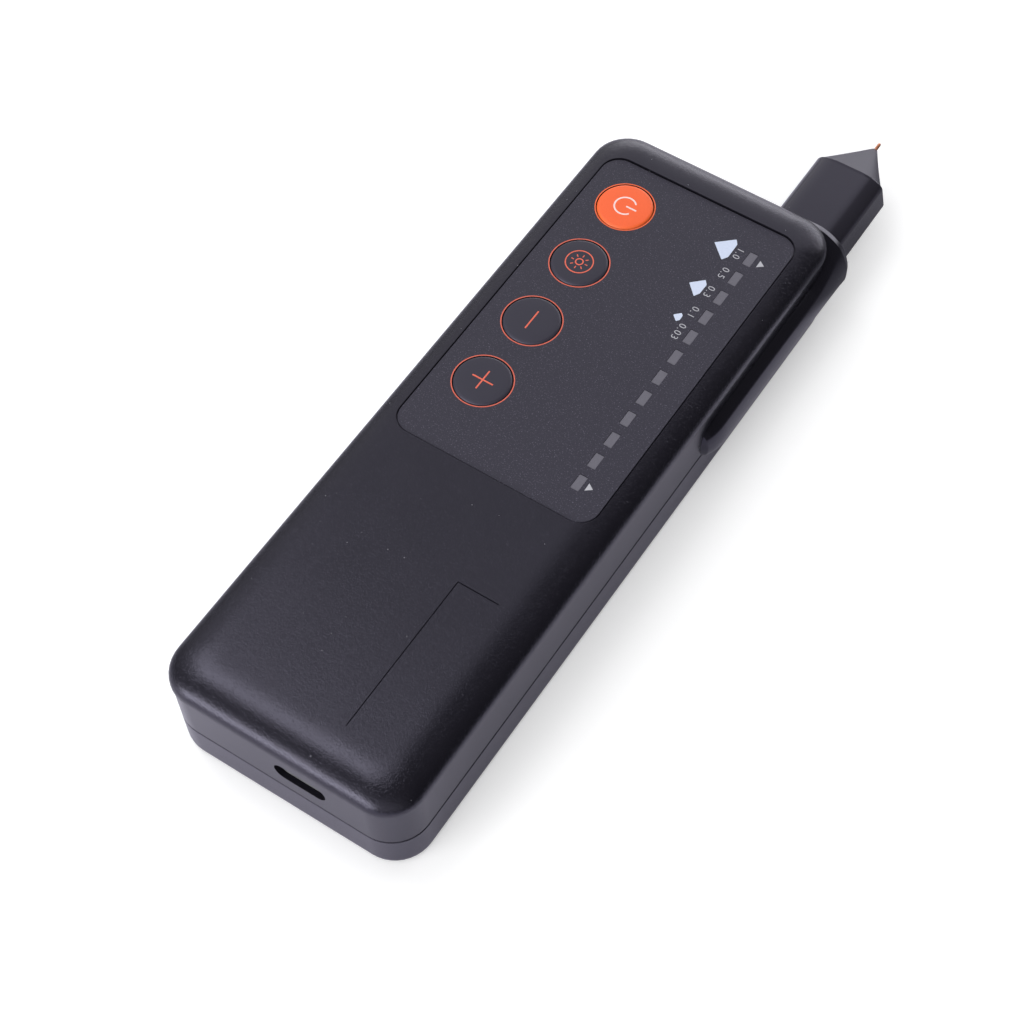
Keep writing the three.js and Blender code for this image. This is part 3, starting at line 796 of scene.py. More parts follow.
@dataclass(frozen=True)
class PrintedFilm(Finish):
    """Matt polyester film with a fine speckle under its surface."""

    def vary(self, tree: Tree) -> dict[str, Any]:
        """Fine pale speckle and a sandy relief.

        Args:
            tree: The tree to wire.

        Returns:
            Values for the shader's sockets, by name.
        """
        speckle = tree.noise(0.22, 2, Roughness=0.7)
        points = speckle.within(0.58, 0.71)
        return {
            "Base Color": tree.mix(points, self.colour, shaded(self.colour, 4.2, 0.01)),
            "Roughness": points * 0.12 + (self.roughness - 0.04),
            "Normal": tree.bump(speckle, 0.01),
        }


@dataclass(frozen=True)
class KeyPlastic(Finish):
    """Soft matt key cap with a fine even grain and a rim painted paler as a highlight."""

    centre: Flat = (0.0, 0.0)
    radius: float = 4.85
    # How much paler the rim is painted, as a highlight on the cap's rounded edge.
    rim: float = 1.25

    def vary(self, tree: Tree) -> dict[str, Any]:
        """Fine grain, and a rim painted a shade paler as a highlight on its rounded edge.

        Args:
            tree: The tree to wire.

        Returns:
            Values for the shader's sockets, by name.
        """
        across, along, _ = tree.parts()
        aside, ahead = across - self.centre[0], along - self.centre[1]
        # The rim is painted paler here as a highlight on the cap's rounded edge.
        painted_rim_highlight = (aside * aside + ahead * ahead).within((self.radius - 0.55) ** 2, (self.radius - 0.05) ** 2)
        grain = tree.noise(0.24, 2)
        base = tree.mix(grain, shaded(self.colour, 0.92), self.colour)
        return {
            "Base Color": tree.mix(painted_rim_highlight, base, shaded(self.colour, self.rim)),
            "Roughness": grain * 0.1 + (self.roughness - 0.05),
            "Normal": tree.bump(grain, 0.008),
        }


@dataclass(frozen=True)
class BrushedMetal(Finish):
    """Metal drawn along Y, with fine lines and small stains."""

    def vary(self, tree: Tree) -> dict[str, Any]:
        """Drawn lines, and stains in the colour and the shine.

        Args:
            tree: The tree to wire.

        Returns:
            Values for the shader's sockets, by name.
        """
        lines = tree.noise(0.12, 2, (1, 0.05, 1))
        stain = tree.noise(1.6, 3)
        return {
            "Base Color": tree.mix(stain.within(0.35, 0.75), self.colour, shaded(self.colour, 0.72)),
            "Roughness": lines * 0.12 + stain * 0.1 + (self.roughness - 0.1),
            "Normal": tree.bump(lines, 0.004),
        }


@dataclass(frozen=True)
class SolderMask(Finish):
    """Green board lacquer over copper tracks."""

    def vary(self, tree: Tree) -> dict[str, Any]:
        """Tracks as slightly paler, slightly raised stripes.

        Args:
            tree: The tree to wire.

        Returns:
            Values for the shader's sockets, by name.
        """
        across, along, _ = tree.parts()
        lines = across.sum("PINGPONG", across + along * (tree.noise(6, 0) > 0.5), 0.6)
        track = (lines > 0.34) * (tree.noise(4, 1) > 0.46)
        return {
            "Base Color": tree.mix(track, self.colour, shaded(self.colour, 1.7)),
            "Roughness": track * 0.1 + self.roughness,
            "Normal": tree.bump(track, 0.03),
        }


@dataclass(frozen=True)
class Foam(Finish):
    """Open foam, full of small pores."""

    def vary(self, tree: Tree) -> dict[str, Any]:
        """Pores as pits in the relief, their colour darkened as painted shade.

        Args:
            tree: The tree to wire.

        Returns:
            Values for the shader's sockets, by name.
        """
        pores = tree.cells(0.6).within(0.1, 0.5)
        # The pores' colour is darkened as painted shade in the pits.
        base = tree.mix(pores, shaded(self.colour, 0.35), self.colour)
        return {"Base Color": base, "Normal": tree.bump(pores, 0.12)}


VIOLET_TINT = (0.8, 0.77, 1.0)
GLOSS = {"tint": VIOLET_TINT, "ior": 1.55}
CASE_TOP = MouldedPlastic("case_top_plastic", "case_top", (0.0105, 0.0098, 0.014), 0.2, **GLOSS)
CASE_BOTTOM = MouldedPlastic("case_bottom_plastic", "case_bottom", (0.032, 0.03, 0.04), 0.22, **GLOSS)
SLEEVE_COLOUR, NOSE_COLOUR = (0.026, 0.0243, 0.033), (0.028, 0.0265, 0.036)
SLEEVE = MouldedPlastic("sleeve_gloss_plastic", "sleeve_gloss", SLEEVE_COLOUR, 0.15, specks=0.4, **GLOSS)
NOSE = MouldedPlastic("nose_satin_plastic", "nose_satin", NOSE_COLOUR, 0.42, tint=VIOLET_TINT, specks=0.4)
FILM = PrintedFilm("panel_film_speckled", "panel_film", (0.0255, 0.024, 0.033), 0.5, tint=VIOLET_TINT)
WINDOW = SmokedWindow("window_smoked", "smoked_guide", (0.15, 0.143, 0.18), 0.5)
RING_INK = ScreenPrint("ink_orange", "key_orange", written(228, 108, 88), 0.5)
POWER_RING_INK = ScreenPrint("ink_power_ring", "key_orange", written(255, 112, 62), 0.45)
MARK_INK = ScreenPrint("ink_orange_marks", "key_orange", written(238, 108, 84), 0.5)
POWER_INK = ScreenPrint("ink_pink", "key_orange", written(255, 226, 222), 0.5)
PALE_INK = ScreenPrint("ink_pale_blue", "panel_film", written(214, 224, 248), 0.5)
GREY_INK = ScreenPrint("ink_pale_grey", "panel_film", written(186, 186, 194), 0.5)
DARK_INK = ScreenPrint("ink_dark", "panel_film", written(44, 43, 50), 0.5)
COPPER = BrushedMetal("needle_copper_drawn", "needle_copper", written(240, 164, 128), 0.42, 1.0)
STEEL = BrushedMetal("steel_drawn", "steel", (0.56, 0.56, 0.58), 0.3, 1.0)
NICKEL = BrushedMetal("socket_black_nickel", "steel", (0.17, 0.17, 0.18), 0.4, 1.0)
GOLD = BrushedMetal("contact_gold", "steel", (0.85, 0.62, 0.28), 0.28, 1.0)
BOARD = SolderMask("board_lacquer", "board", (0.012, 0.085, 0.035), 0.45)
BLACK_PART = Finish("chip_epoxy", "black_part", (0.014, 0.014, 0.016), 0.55)
PALE_LAMP = SmokedWindow("lamp_resin", "lamp_body", (0.78, 0.77, 0.66), 0.35)
VIOLET = SmokedWindow("violet_resin", "violet_lens", (0.26, 0.18, 0.6), 0.2)
CELL = Foil("cell_foil_pouch", "cell_foil", (0.32, 0.35, 0.39), 0.42, 0.7)
PAD_FOAM = Foam("pad_foam", "foam", (0.03, 0.03, 0.035), 0.9)
PALE_INSULATOR = Finish("pale_insulator", "pale_insulator", (0.72, 0.69, 0.6), 0.55)
RED_LEAD = Finish("lead_red_sleeve", "lead_red", (0.42, 0.025, 0.02), 0.45)
BLACK_LEAD = Finish("lead_black_sleeve", "lead_black", (0.012, 0.012, 0.014), 0.45)


@dataclass
class SubAssembly:
    """A group of pieces that are made and dressed together, and the places that several groups share."""

    body: str = "case"
    top: float = 21.0
    ceiling: float = 18.75
    film_seat: float = 20.35
    film_top: float = 20.7
    ink: float = 0.012
    key_x: float = -10.6
    key_rows: tuple[float, ...] = (48.7, 34.4, 20.1, 5.8)
    window_x: float = 13.0
    first_window: float = 50.3
    window_pitch: float = 4.777
    window_count: int = 12
    screw_x: float = 17.9
    screw_rows: Flat = (-56.5, 41.55)
    probe_x: float = 15.4
    probe_z: float = 9.95
    socket_x: float = 4.2
    socket_z: float = 13.23
    lamp_x: float = -5.4
    lamp_z: float = 12.6

    def keep(self, piece: Piece, finish: Finish, *nodes: str, body: str | None = None) -> None:
        """Dress a finished piece and hang it on its body.

        Args:
            piece: The finished object.
            finish: Its finish.
            nodes: The CAD nodes that it stands for.
            body: The body that it rides on, this group's own if none is given.
        """
        piece.data.materials.clear()
        piece.data.materials.append(finish.material())
        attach(piece, body or self.body)
        if nodes:
            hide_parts(*nodes)
        LOG.info("%s: %d faces", piece.name, len(piece.data.polygons))

    def lay(self, piece: Piece, finish: Finish) -> None:
        """Finish a thin print and hang it on the group's body."""
        self.keep(settle(piece, weighted=False), finish)

    def window_rows(self) -> list[float]:
        """Where the windows sit along the case, from the head on."""
        return [self.first_window - row * self.window_pitch for row in range(self.window_count)]

    def screws(self) -> list[Flat]:
        """Where the case screws sit, row by row from the tail on."""
        return [(x, y) for y in self.screw_rows for x in (-self.screw_x, self.screw_x)]

    def open_up(self, sheet: Piece, low: float, reach: Flat, corner: float) -> None:
        """Cut the key holes and the window slots through the upper shell or the film.

        Args:
            sheet: The shell or the film.
            low: Where the cuts start.
            reach: How far the holes and the slots go up from there.
            corner: The radius of the slots' corners.
        """
        for y in self.key_rows:
            carve(sheet, rod("hole", 5, reach[0], (self.key_x, y, low), Axis.UP, 64))
        for y in self.window_rows():
            box = around(self.window_x, y, 0.785, 1.485)
            carve(sheet, block("slot", box, (low, reach[1]), corner, 2))


@dataclass
class CaseShape(SubAssembly):
    """Outlines that both shells share."""

    half_width: float = 22.5
    half_length: float = 64.5
    corner: float = 6.5
    wall: float = 1.8
    parting: float = 8.3
    groove_height: float = 0.35
    groove_depth: float = 0.8
    rim_y: float = 65.5
    collar_side: float = 9.3
    collar_inner: float = 15.0
    collar_top: float = 7.85
    collar_corner: float = 3.0
    collar_low_corner: float = 7.0
    side_round: float = 8.0
    rail_half: float = 4.2
    rail_corner: float = 1.4
    rail_length: float = 46.3
    rail_end: float = 5.5
    rail_end_half: float = 2.9
    rail_seat: float = 0.4
    flare: float = 11.0
    lip: float = 1.15
    lip_steps: tuple[Flat, ...] = ((0.06, 0.01), (0.14, 0.04), (0.88, 0.34), (0.96, 0.4), (1.0, 0.5))
    edge_steps: tuple[Flat, ...] = ((0.12, 0.0), (0.03, 0.06), (0.0, 0.18))

    def outline(self, inset: float, height: float, corner: float | None = None) -> Piece:
        """The case's outline as a level face.

        Args:
            inset: How far it is moved in.
            height: Its height.
            corner: Its corner radius, from the inset if none is given.

        Returns:
            The face.
        """
        radius = self.corner - inset if corner is None else corner
        box = around(0, 0, self.half_width - inset, self.half_length - inset)
        return panel("outline", box, height, radius, 10)

    def layer(self, inset: float, low: float, height: float) -> Piece:
        """The case's outline as a solid, from where it starts and its own height."""
        return raised(self.outline(inset, low), height)

    def section(self, y: float, half: float, side: float, corner: float, inset: float) -> Piece:
        """One cross-section of the collar or the rail, leaning in above the probe's axis.

        Args:
            y: Its place along the case.
            half: Half of its height.
            side: How far it reaches past the probe's axis.
            corner: The radius of its upper corners.
            inset: How far the whole section is moved in.

        Returns:
            The section as a flat face.
        """
        half, side = half - inset, side - inset
        high, low = (min(radius, 0.98 * half) for radius in (corner, self.collar_low_corner))
        left, right = self.probe_x - self.collar_inner, self.probe_x + side
        upper, lower = self.probe_z + half, self.probe_z - half
        corners = [(right - high, upper - high), (left + high, upper - high)]
        corners += [(left + low, lower + low), (right - low, lower + low)]
        radii = [high, high, low, low]
        places = arcs(corners, radii, radii, 8)
        gap = corners[0][1] - corners[3][1]
        places += [(right, corners[3][1] + gap * share) for share in (0.2, 0.4, 0.6, 0.8)]
        leaned = []
        for x, z in places:
            lean = max(0.0, z - self.probe_z) ** 2 / (2 * self.side_round)
            leaned.append((x - math.copysign(lean, x - self.probe_x), y, z))
        return face_of("section", leaned)

    def collar(self, inset: float, low: float, high: float) -> Piece:
        """The collar round the probe, its flare and the rail behind it, between two heights.

        Args:
            inset: How far the whole form is moved in.
            low: Where it starts.
            high: Where it ends.

        Returns:
            The closed solid.
        """
        rail_tail = self.rim_y - self.rail_length
        wall_side = self.half_width - self.probe_x - self.rail_seat
        rings = []
        for step in range(7):
            share = step / 6
            swell = math.sqrt(1 - (1 - share) ** 2)
            half = self.rail_end_half + (self.rail_half - self.rail_end_half) * swell
            side = wall_side + (self.collar_side - wall_side) * swell
            y = rail_tail + share * self.rail_end
            rings.append(self.section(y, half, side, self.rail_corner, inset))
        for step in range(13):
            share = step / 12
            rise = share**1.5
            half = self.rail_half + (self.collar_top - self.rail_half) * rise
            corner = self.rail_corner + (self.collar_corner - self.rail_corner) * rise
            y = self.rim_y - self.lip - (self.flare - self.lip) * (1 - share)
            rings.append(self.section(y, half, self.collar_side, corner, inset))
        for along, drop in self.lip_steps:
            y = self.rim_y - self.lip * (1 - along)
            rings.append(self.section(y, self.collar_top, self.collar_side, self.collar_corner, inset + drop))
        slab = block("slab", (-45, 45, -90, 90), (low, high - low), 1, 8)
        return carve(bridged("collar", rings, Axis.ALONG), slab, Cut.KEEP)

    def sleeve_bore(self) -> Piece:
        """The hole that takes the probe's sleeve, as a tool."""
        box = around(self.probe_x, self.probe_z, 6.7, 5.75)
        return block("bore", box, (54, 14), 3.2, 10, Axis.ALONG)


@dataclass
class TopShell(CaseShape):
    """The upper shell: domed face, walls, upper collar and rail, and every opening in them."""

    crease: float = 17.3
    run: float = 8.0
    step: float = 0.15
    dome_rings: int = 22
    side_power: float = 2.8
    rise_power: float = 2.5
    top_corner: float = 3.0
    seam_steps: tuple[Flat, ...] = ((0.0, -0.2), (0.04, -0.16), (0.16, -0.14), (0.16, -0.04), (-0.1, -0.02))
    panel: Box = (-18.9, 18.9, -9.0, 57.8)
    panel_corner: float = 3.6
    mouth: Flat = (4.67, 1.83)
    eye: float = 2.7
    pad: Flat = (7.3, -27.2)
    pad_ends: Flat = (14.8, -56.0)
    line: float = 0.2
    line_depth: float = 0.22

    def dome(self) -> list[Piece]:
        """The rings of the domed face, from the crease up.

        Returns:
            Level faces in order.
        """
        rings = []
        for cosine, sine in reversed(quarter(self.dome_rings)):
            share = 1 - sine ** (2 / self.side_power)
            height = self.crease + (self.top - self.crease) * cosine ** (2 / self.rise_power)
            corner = self.corner + (self.top_corner - self.corner) * share
            rings.append(self.outline(self.run * share - self.step, height, corner))
        return rings

    def build(self) -> None:
        """Make the shell and hang it on the case."""
        rings = [self.outline(inset, self.parting + away) for inset, away in self.edge_steps]
        rings += [self.outline(inset, self.crease + away) for inset, away in self.seam_steps]
        shell = bridged("shell_top", rings + self.dome(), Axis.UP)
        carve(shell, self.collar(0, self.parting, self.top + 1), Cut.ON)
        carve(shell, self.layer(self.wall, self.parting - 1, self.ceiling - self.parting + 1))
        carve(shell, self.sleeve_bore())
        carve(shell, block("recess", self.panel, (self.film_seat, 3), self.panel_corner, 12))
        self.open_up(shell, 17, (6, 5), 0.1)
        mouth = around(self.socket_x, self.socket_z, *self.mouth)
        carve(shell, block("mouth", mouth, (-68, 8), 1.8, 10, Axis.ALONG))
        carve(shell, rod("eye", self.eye, 8, (self.lamp_x, 60, self.lamp_z), Axis.ALONG, 48))
        carve(shell, self.pad_line())
        self.keep(settle(shell, 28), CASE_TOP, "top_housing")

    def pad_line(self) -> Piece:
        """The two thin lines that frame the bare pad near the tail, as a tool.

        Returns:
            The closed solid.
        """
        (left, head), (right, tail) = self.pad, self.pad_ends
        beside, below = left + self.line, head - self.line
        corners = [(left, tail), (beside, tail), (beside, below), (right, below), (right, head), (left, head)]
        return raised(face_of("line", [(x, y, self.top - self.line_depth) for x, y in corners]), 1)


@dataclass
class BottomShell(CaseShape):
    """The lower shell: a shallow tray with rounded lower edges and the lower half of the collar."""

    run: float = 1.6
    rise: float = 2.2
    tuck: float = 0.2
    post: Flat = (2.6, 8.6)
    screw_hole: tuple[Flat, ...] = ((0, -1), (2.45, -1), (2.45, 0), (2.2, 0.25), (2.2, 2.7), (1.07, 2.7))

    def build(self) -> None:
        """Make the tray and hang it on the case."""
        rings = [self.outline(self.run * (1 - sine), self.rise * (1 - cosine)) for cosine, sine in quarter(7)]
        top = self.parting - self.groove_height
        rings += [self.outline(inset, top - away) for inset, away in reversed(self.edge_steps)]
        tray = bridged("shell_bottom", rings, Axis.UP)
        carve(tray, self.collar(self.tuck, -1, top), Cut.ON)
        carve(tray, self.layer(self.groove_depth, top - 0.5, self.groove_height + 0.5), Cut.ON)
        carve(tray, self.collar(self.groove_depth, top - 0.5, self.parting), Cut.ON)
        carve(tray, self.layer(self.wall, self.wall, 9))
        places = sorted(self.screws())
        posts = [rod("post", *self.post, (x, y, 1.4), Axis.UP) for x, y in places]
        carve(tray, together(posts, "posts"), Cut.ON)
        profile = [*self.screw_hole, (1.07, 12), (0, 12)]
        holes = [turned("hole", profile, (x, y, 0), Axis.UP, 40) for x, y in places]
        carve(tray, together(holes, "holes"))
        carve(tray, self.sleeve_bore())
        self.keep(settle(tray, 28), CASE_BOTTOM, "bottom_housing")


@dataclass
class ScrewSet(SubAssembly):
    """Four case screws with crossed recesses, in the back."""

    head: float = 2.0
    shank: float = 0.95
    low: float = 1.2
    neck: float = 2.7
    end: float = 16.7
    recess: Flat = (1.15, 0.24)

    def build(self) -> None:
        """Make one screw, copy it and hang the four on the case."""
        (x, y), *others = self.screws()
        profile = [(0, self.low), (self.head - 0.35, self.low), (self.head - 0.1, self.low + 0.12)]
        profile += [(self.head, self.low + 0.4), (self.head, self.neck), (self.shank, self.neck)]
        profile += [(self.shank, self.end - 0.8), (0.2, self.end), (0, self.end)]
        first = turned("screw_1", profile, (x, y, 0), Axis.UP, 40)
        for half in (self.recess, self.recess[::-1]):
            slot = panel("slot", around(x, y, *half), self.low - 0.5, 0.1, 2)
            carve(first, drawn(slot, [((0, 0, 0.5),), ((0, 0, 0.75), (0.6, 0.6, 1), (x, y, 0))]))
        self.keep(settle(first), STEEL, "housing_screw_1")
        for number, place in enumerate(others, 2):
            copy = twin(first, f"screw_{number}", (place[0] - x, place[1] - y, 0))
            self.keep(copy, STEEL, f"housing_screw_{number}")


class KeyKind(Enum):
    """The four keys, from the head on."""

    POWER = "power"
    LAMP = "uv"
    MINUS = "minus"
    PLUS = "plus"


@dataclass
class KeyPanel(SubAssembly):
    """The printed film, with its key holes, window slots and plain prints."""

    box: Box = (-18.7, 18.7, -8.8, 57.6)
    corner: float = 3.4
    stones: tuple[tuple[str, tuple[Flat, ...]], ...] = (
        ("large", ((6.1, 50.26), (8.96, 52.76), (9.62, 51.88), (9.67, 48.79), (8.99, 47.72))),
        ("middle", ((6.99, 40.69), (9.02, 42.61), (9.7, 41.8), (9.64, 39.66), (9.08, 38.68))),
        ("small", ((8.23, 33.61), (9.24, 34.62), (9.65, 34.27), (9.72, 33.22), (9.27, 32.69))),
    )
    arrows: tuple[tuple[str, tuple[Flat, ...]], ...] = (
        ("head", ((14.65, 50.94), (15.73, 50.25), (14.66, 49.41))),
        ("tail", ((14.45, -1.52), (15.58, -2.23), (14.5, -3.05))),
    )
    numbers: tuple[tuple[str, float], ...] = (
        ("1.0", 50.33), ("0.5", 45.46), ("0.3", 40.82), ("0.1", 35.77), ("0.03", 31.13),
    )

    def build(self) -> None:
        """Make the film and its prints."""
        film = soft_plate("key_film", self.box, (self.film_seat, self.film_top), self.corner, 12, 0.06)
        self.open_up(film, 20, (2, 2), 0.12)
        self.keep(settle(film), FILM, "panel_overlay")
        self.print_rings()
        self.print_gems()
        self.print_arrows()
        self.print_numbers()

    def print_rings(self) -> None:
        """The thin rings round the four keys."""
        for kind, y in zip(KeyKind, self.key_rows):
            profile = [(5.0, 0), (5.19, 0), (5.19, self.ink), (5.0, self.ink)]
            ring = turned(f"ring_print_{kind.value}", profile, (self.key_x, y, self.film_top), Axis.UP, 96)
            self.lay(ring, POWER_RING_INK if kind is KeyKind.POWER else RING_INK)

    def print_gems(self) -> None:
        """Three plain cut stones, each a pale face on a slightly larger dark one."""
        layers = (("edge", 0.14, 0.0, DARK_INK), ("face", 0.0, self.ink, PALE_INK))
        for name, corners in self.stones:
            middle = [sum(places) / len(places) for places in zip(*corners)]
            for kind, grow, base, finish in layers:
                grown = []
                for corner in corners:
                    scale = 1 + grow / math.dist(corner, middle)
                    x, y = (centre + (value - centre) * scale for value, centre in zip(corner, middle))
                    grown.append((x, y, self.film_top + base))
                self.lay(raised(rounded(f"stone_{name}_{kind}", grown, 0.12, 3), self.ink), finish)

    def print_arrows(self) -> None:
        """Two small triangles beside the first and the last window."""
        for name, corners in self.arrows:
            face = face_of(f"arrow_{name}", [(x, y, self.film_top) for x, y in corners])
            self.lay(raised(face, self.ink), GREY_INK)

    def print_numbers(self) -> None:
        """The plain numbers between the stones and the windows."""
        for number, (words, y) in enumerate(self.numbers, 1):
            bpy.ops.object.text_add(location=(0, 0, 0))
            piece = bpy.context.object
            piece.name = f"number_{number}"
            text = piece.data
            text.body, text.align_x, text.align_y = words, "CENTER", "CENTER"
            text.size, text.space_character = 1.75 * MM, 1.18
            text.extrude, text.offset = self.ink * MM / 2, -0.012 * MM
            only(piece)
            bpy.ops.object.convert(target="MESH")
            piece = bpy.context.object
            piece.rotation_euler = (0, 0, -math.pi / 2)
            piece.location = vector((10.68, y, self.film_top + self.ink / 2))
            bpy.ops.object.transform_apply(location=True, rotation=True, scale=True)
            self.lay(piece, GREY_INK)


@dataclass
class Key(SubAssembly):
    """One round key with a softly domed face and a flange below the ceiling."""

    kind: KeyKind = KeyKind.POWER
    y: float = 48.7
    radius: float = 4.84
    low: float = 17.3
    flange: Flat = (5.55, 18.4)
    edge: float = 0.5
    sunk: float = 0.03

    def build(self) -> None:
        """Make the cap and its mark, and hang both on the key's body."""
        name = f"key_cap_{self.kind.value}"
        # The rim factor paints each cap's rounded edge paler as a highlight.
        if self.kind is KeyKind.POWER:
            looks = {"slot": "key_orange", "colour": written(255, 104, 50), "rim": 1.12}
        else:
            looks = {"slot": "key_dark", "colour": (0.029, 0.0275, 0.038), "tint": VIOLET_TINT, "rim": 1.7}
        finish = KeyPlastic(name, roughness=0.44, centre=(self.key_x, self.y), **looks)
        wide, step = self.flange
        profile = [(0, self.low), (wide, self.low), (wide, step), (self.radius, step)]
        for cosine, sine in quarter(6):
            out = self.radius - self.edge * (1 - cosine)
            profile.append((out, self.top - 0.06 - self.edge + self.edge * sine))
        profile += [(3.2, self.top - 0.02), (1.6, self.top), (0, self.top)]
        cap = turned(name, profile, (self.key_x, self.y, 0), Axis.UP, 96)
        self.keep(settle(cap, 40), finish, f"key_{self.kind.value}")
        self.lay(self.mark(), POWER_INK if self.kind is KeyKind.POWER else MARK_INK)

    def bar(self, name: str, box: Box) -> Piece:
        """A printed bar on the key's face.

        Args:
            name: The piece's name.
            box: Its sides, measured from the key's middle.

        Returns:
            The closed solid.
        """
        left, right, tail, head = box
        box = (self.key_x + left, self.key_x + right, self.y + tail, self.y + head)
        return block(name, box, (self.top - self.sunk, self.sunk + self.ink), 0.08, 3)

    def hoop(self, name: str, inner: float, outer: float) -> Piece:
        """A printed ring on the key's face."""
        profile = [(inner, -self.sunk), (outer, -self.sunk), (outer, self.ink), (inner, self.ink)]
        return turned(name, profile, (self.key_x, self.y, self.top), Axis.UP, 72)

    def open_hoop(self, name: str, inner: float, outer: float, gap: float) -> Piece:
        """A printed ring on the key's face, open towards +X.

        Args:
            name: The piece's name.
            inner: The inner radius.
            outer: The outer radius.
            gap: Half of the opening, in degrees.

        Returns:
            The ring, in object mode.
        """
        low, high = self.top - self.sunk, self.top + self.ink
        corners = [(inner, low), (outer, low), (outer, high), (inner, high)]
        piece = face_of(name, [(self.key_x + radius, self.y, height) for radius, height in corners])
        edit(piece)
        whole()
        about = {"center": vector((self.key_x, self.y, 0)), "axis": (0, 0, 1)}
        turn = math.radians(gap)
        bpy.ops.mesh.spin(steps=1, angle=turn, **about)
        bpy.ops.mesh.select_all(action="INVERT")
        bpy.ops.mesh.delete(type="VERT")
        whole()
        bpy.ops.mesh.spin(steps=60, angle=2 * math.pi - 2 * turn, **about)
        leave()
        return piece

    def mark(self) -> Piece:
        """The key's printed mark.

        Returns:
            The closed solids as one piece.
        """
        if self.kind is KeyKind.POWER:
            line = self.bar("bar", (0.2, 2.2, -0.15, 0.15))
            return together([self.open_hoop("mark_power", 1.7, 2.0, 38), line], "mark_power")
        if self.kind is KeyKind.MINUS:
            return self.bar("mark_minus", (-0.13, 0.13, -2.03, 2.03))
        if self.kind is KeyKind.PLUS:
            across = self.bar("mark_plus", (-2.0, 2.0, -0.13, 0.13))
            return carve(across, self.bar("arm", (-0.13, 0.13, -2.0, 2.0)), Cut.ON)
        pieces = [self.hoop("mark_lamp", 2.24, 2.44), self.hoop("bulb", 0.52, 0.74)]
        middle = vector((self.key_x, self.y, self.top))
        for number in range(8):
            ray = self.bar("ray", (1.05, 1.6, -0.09, 0.09))
            edit(ray)
            whole()
            bpy.ops.transform.rotate(value=number * math.pi / 4, orient_axis="Z", center_override=middle)
            leave()
            pieces.append(ray)
        return together(pieces, "mark_lamp")


@dataclass
class LightGuide(SubAssembly):
    """Twelve smoked windows on one strip."""

    half: Flat = (0.765, 1.465)
    low: float = 16.75
    window_top: float = 20.65

    def build(self) -> None:
        """Make the windows and their strip."""
        rows, span = self.window_rows(), (self.ceiling - 0.4, self.window_top)
        pips = [soft_plate("pip", around(self.window_x, y, *self.half), span, 0.1, 3, 0.05) for y in rows]
        box = (self.window_x - 1.6, self.window_x + 1.6, rows[-1] - 2.5, rows[0] + 2.5)
        strip = block("strip", box, (self.low, self.ceiling - self.low), 0.4, 4)
        carve(strip, rod("room", 2.8, 8, (self.screw_x, self.screw_rows[1], 14), Axis.UP))
        self.keep(settle(together([strip, *pips], "light_windows")), WINDOW, "light_guide")


@dataclass
class ChargingSocket(SubAssembly):
    """The steel charging socket in the tail wall, with its tongue and contacts."""

    half: Flat = (4.47, 1.63)
    skin: float = 0.3
    bevel: float = 0.12
    mouth: float = -63.6
    length: float = 7.3
    tongue: Flat = (3.35, 0.35)
    contact_pitch: float = 0.5

    def build(self) -> None:
        """Make the shell, the tongue and the contacts."""
        x, z = self.socket_x, self.socket_z
        box, span = around(x, z, *self.half), (self.mouth, self.length)
        shell = block("socket_shell", box, span, 1.6, 10, Axis.ALONG)
        wide, high = (half - self.skin for half in self.half)
        box = around(x, z, wide + self.bevel, high + self.bevel)
        bore = panel("bore", box, self.mouth - 0.1, 1.42, 10, Axis.ALONG)
        scale = (wide / (wide + self.bevel), 1, high / (high + self.bevel))
        carve(shell, drawn(bore, [((0, 0.1, 0),), ((0, 0.2, 0), scale, (x, 0, z)), ((0, 6.2, 0),)]))
        self.keep(settle(shell), NICKEL, "usb_socket_shell")
        tongue = block("socket_tongue", around(x, z, *self.tongue), (-61.6, 5), 0.1, 3, Axis.ALONG)
        self.keep(settle(tongue), BLACK_PART, "usb_socket_tongue")
        strips = []
        for number in range(12):
            for rise in (-self.tongue[1], self.tongue[1]):
                box = around(x + (number - 5.5) * self.contact_pitch, z + rise, 0.13, 0.02)
                strips.append(block("strip", box, (-61.3, 4.2), 0.01, 1, Axis.ALONG))
        self.keep(settle(together(strips, "socket_contacts")), GOLD)


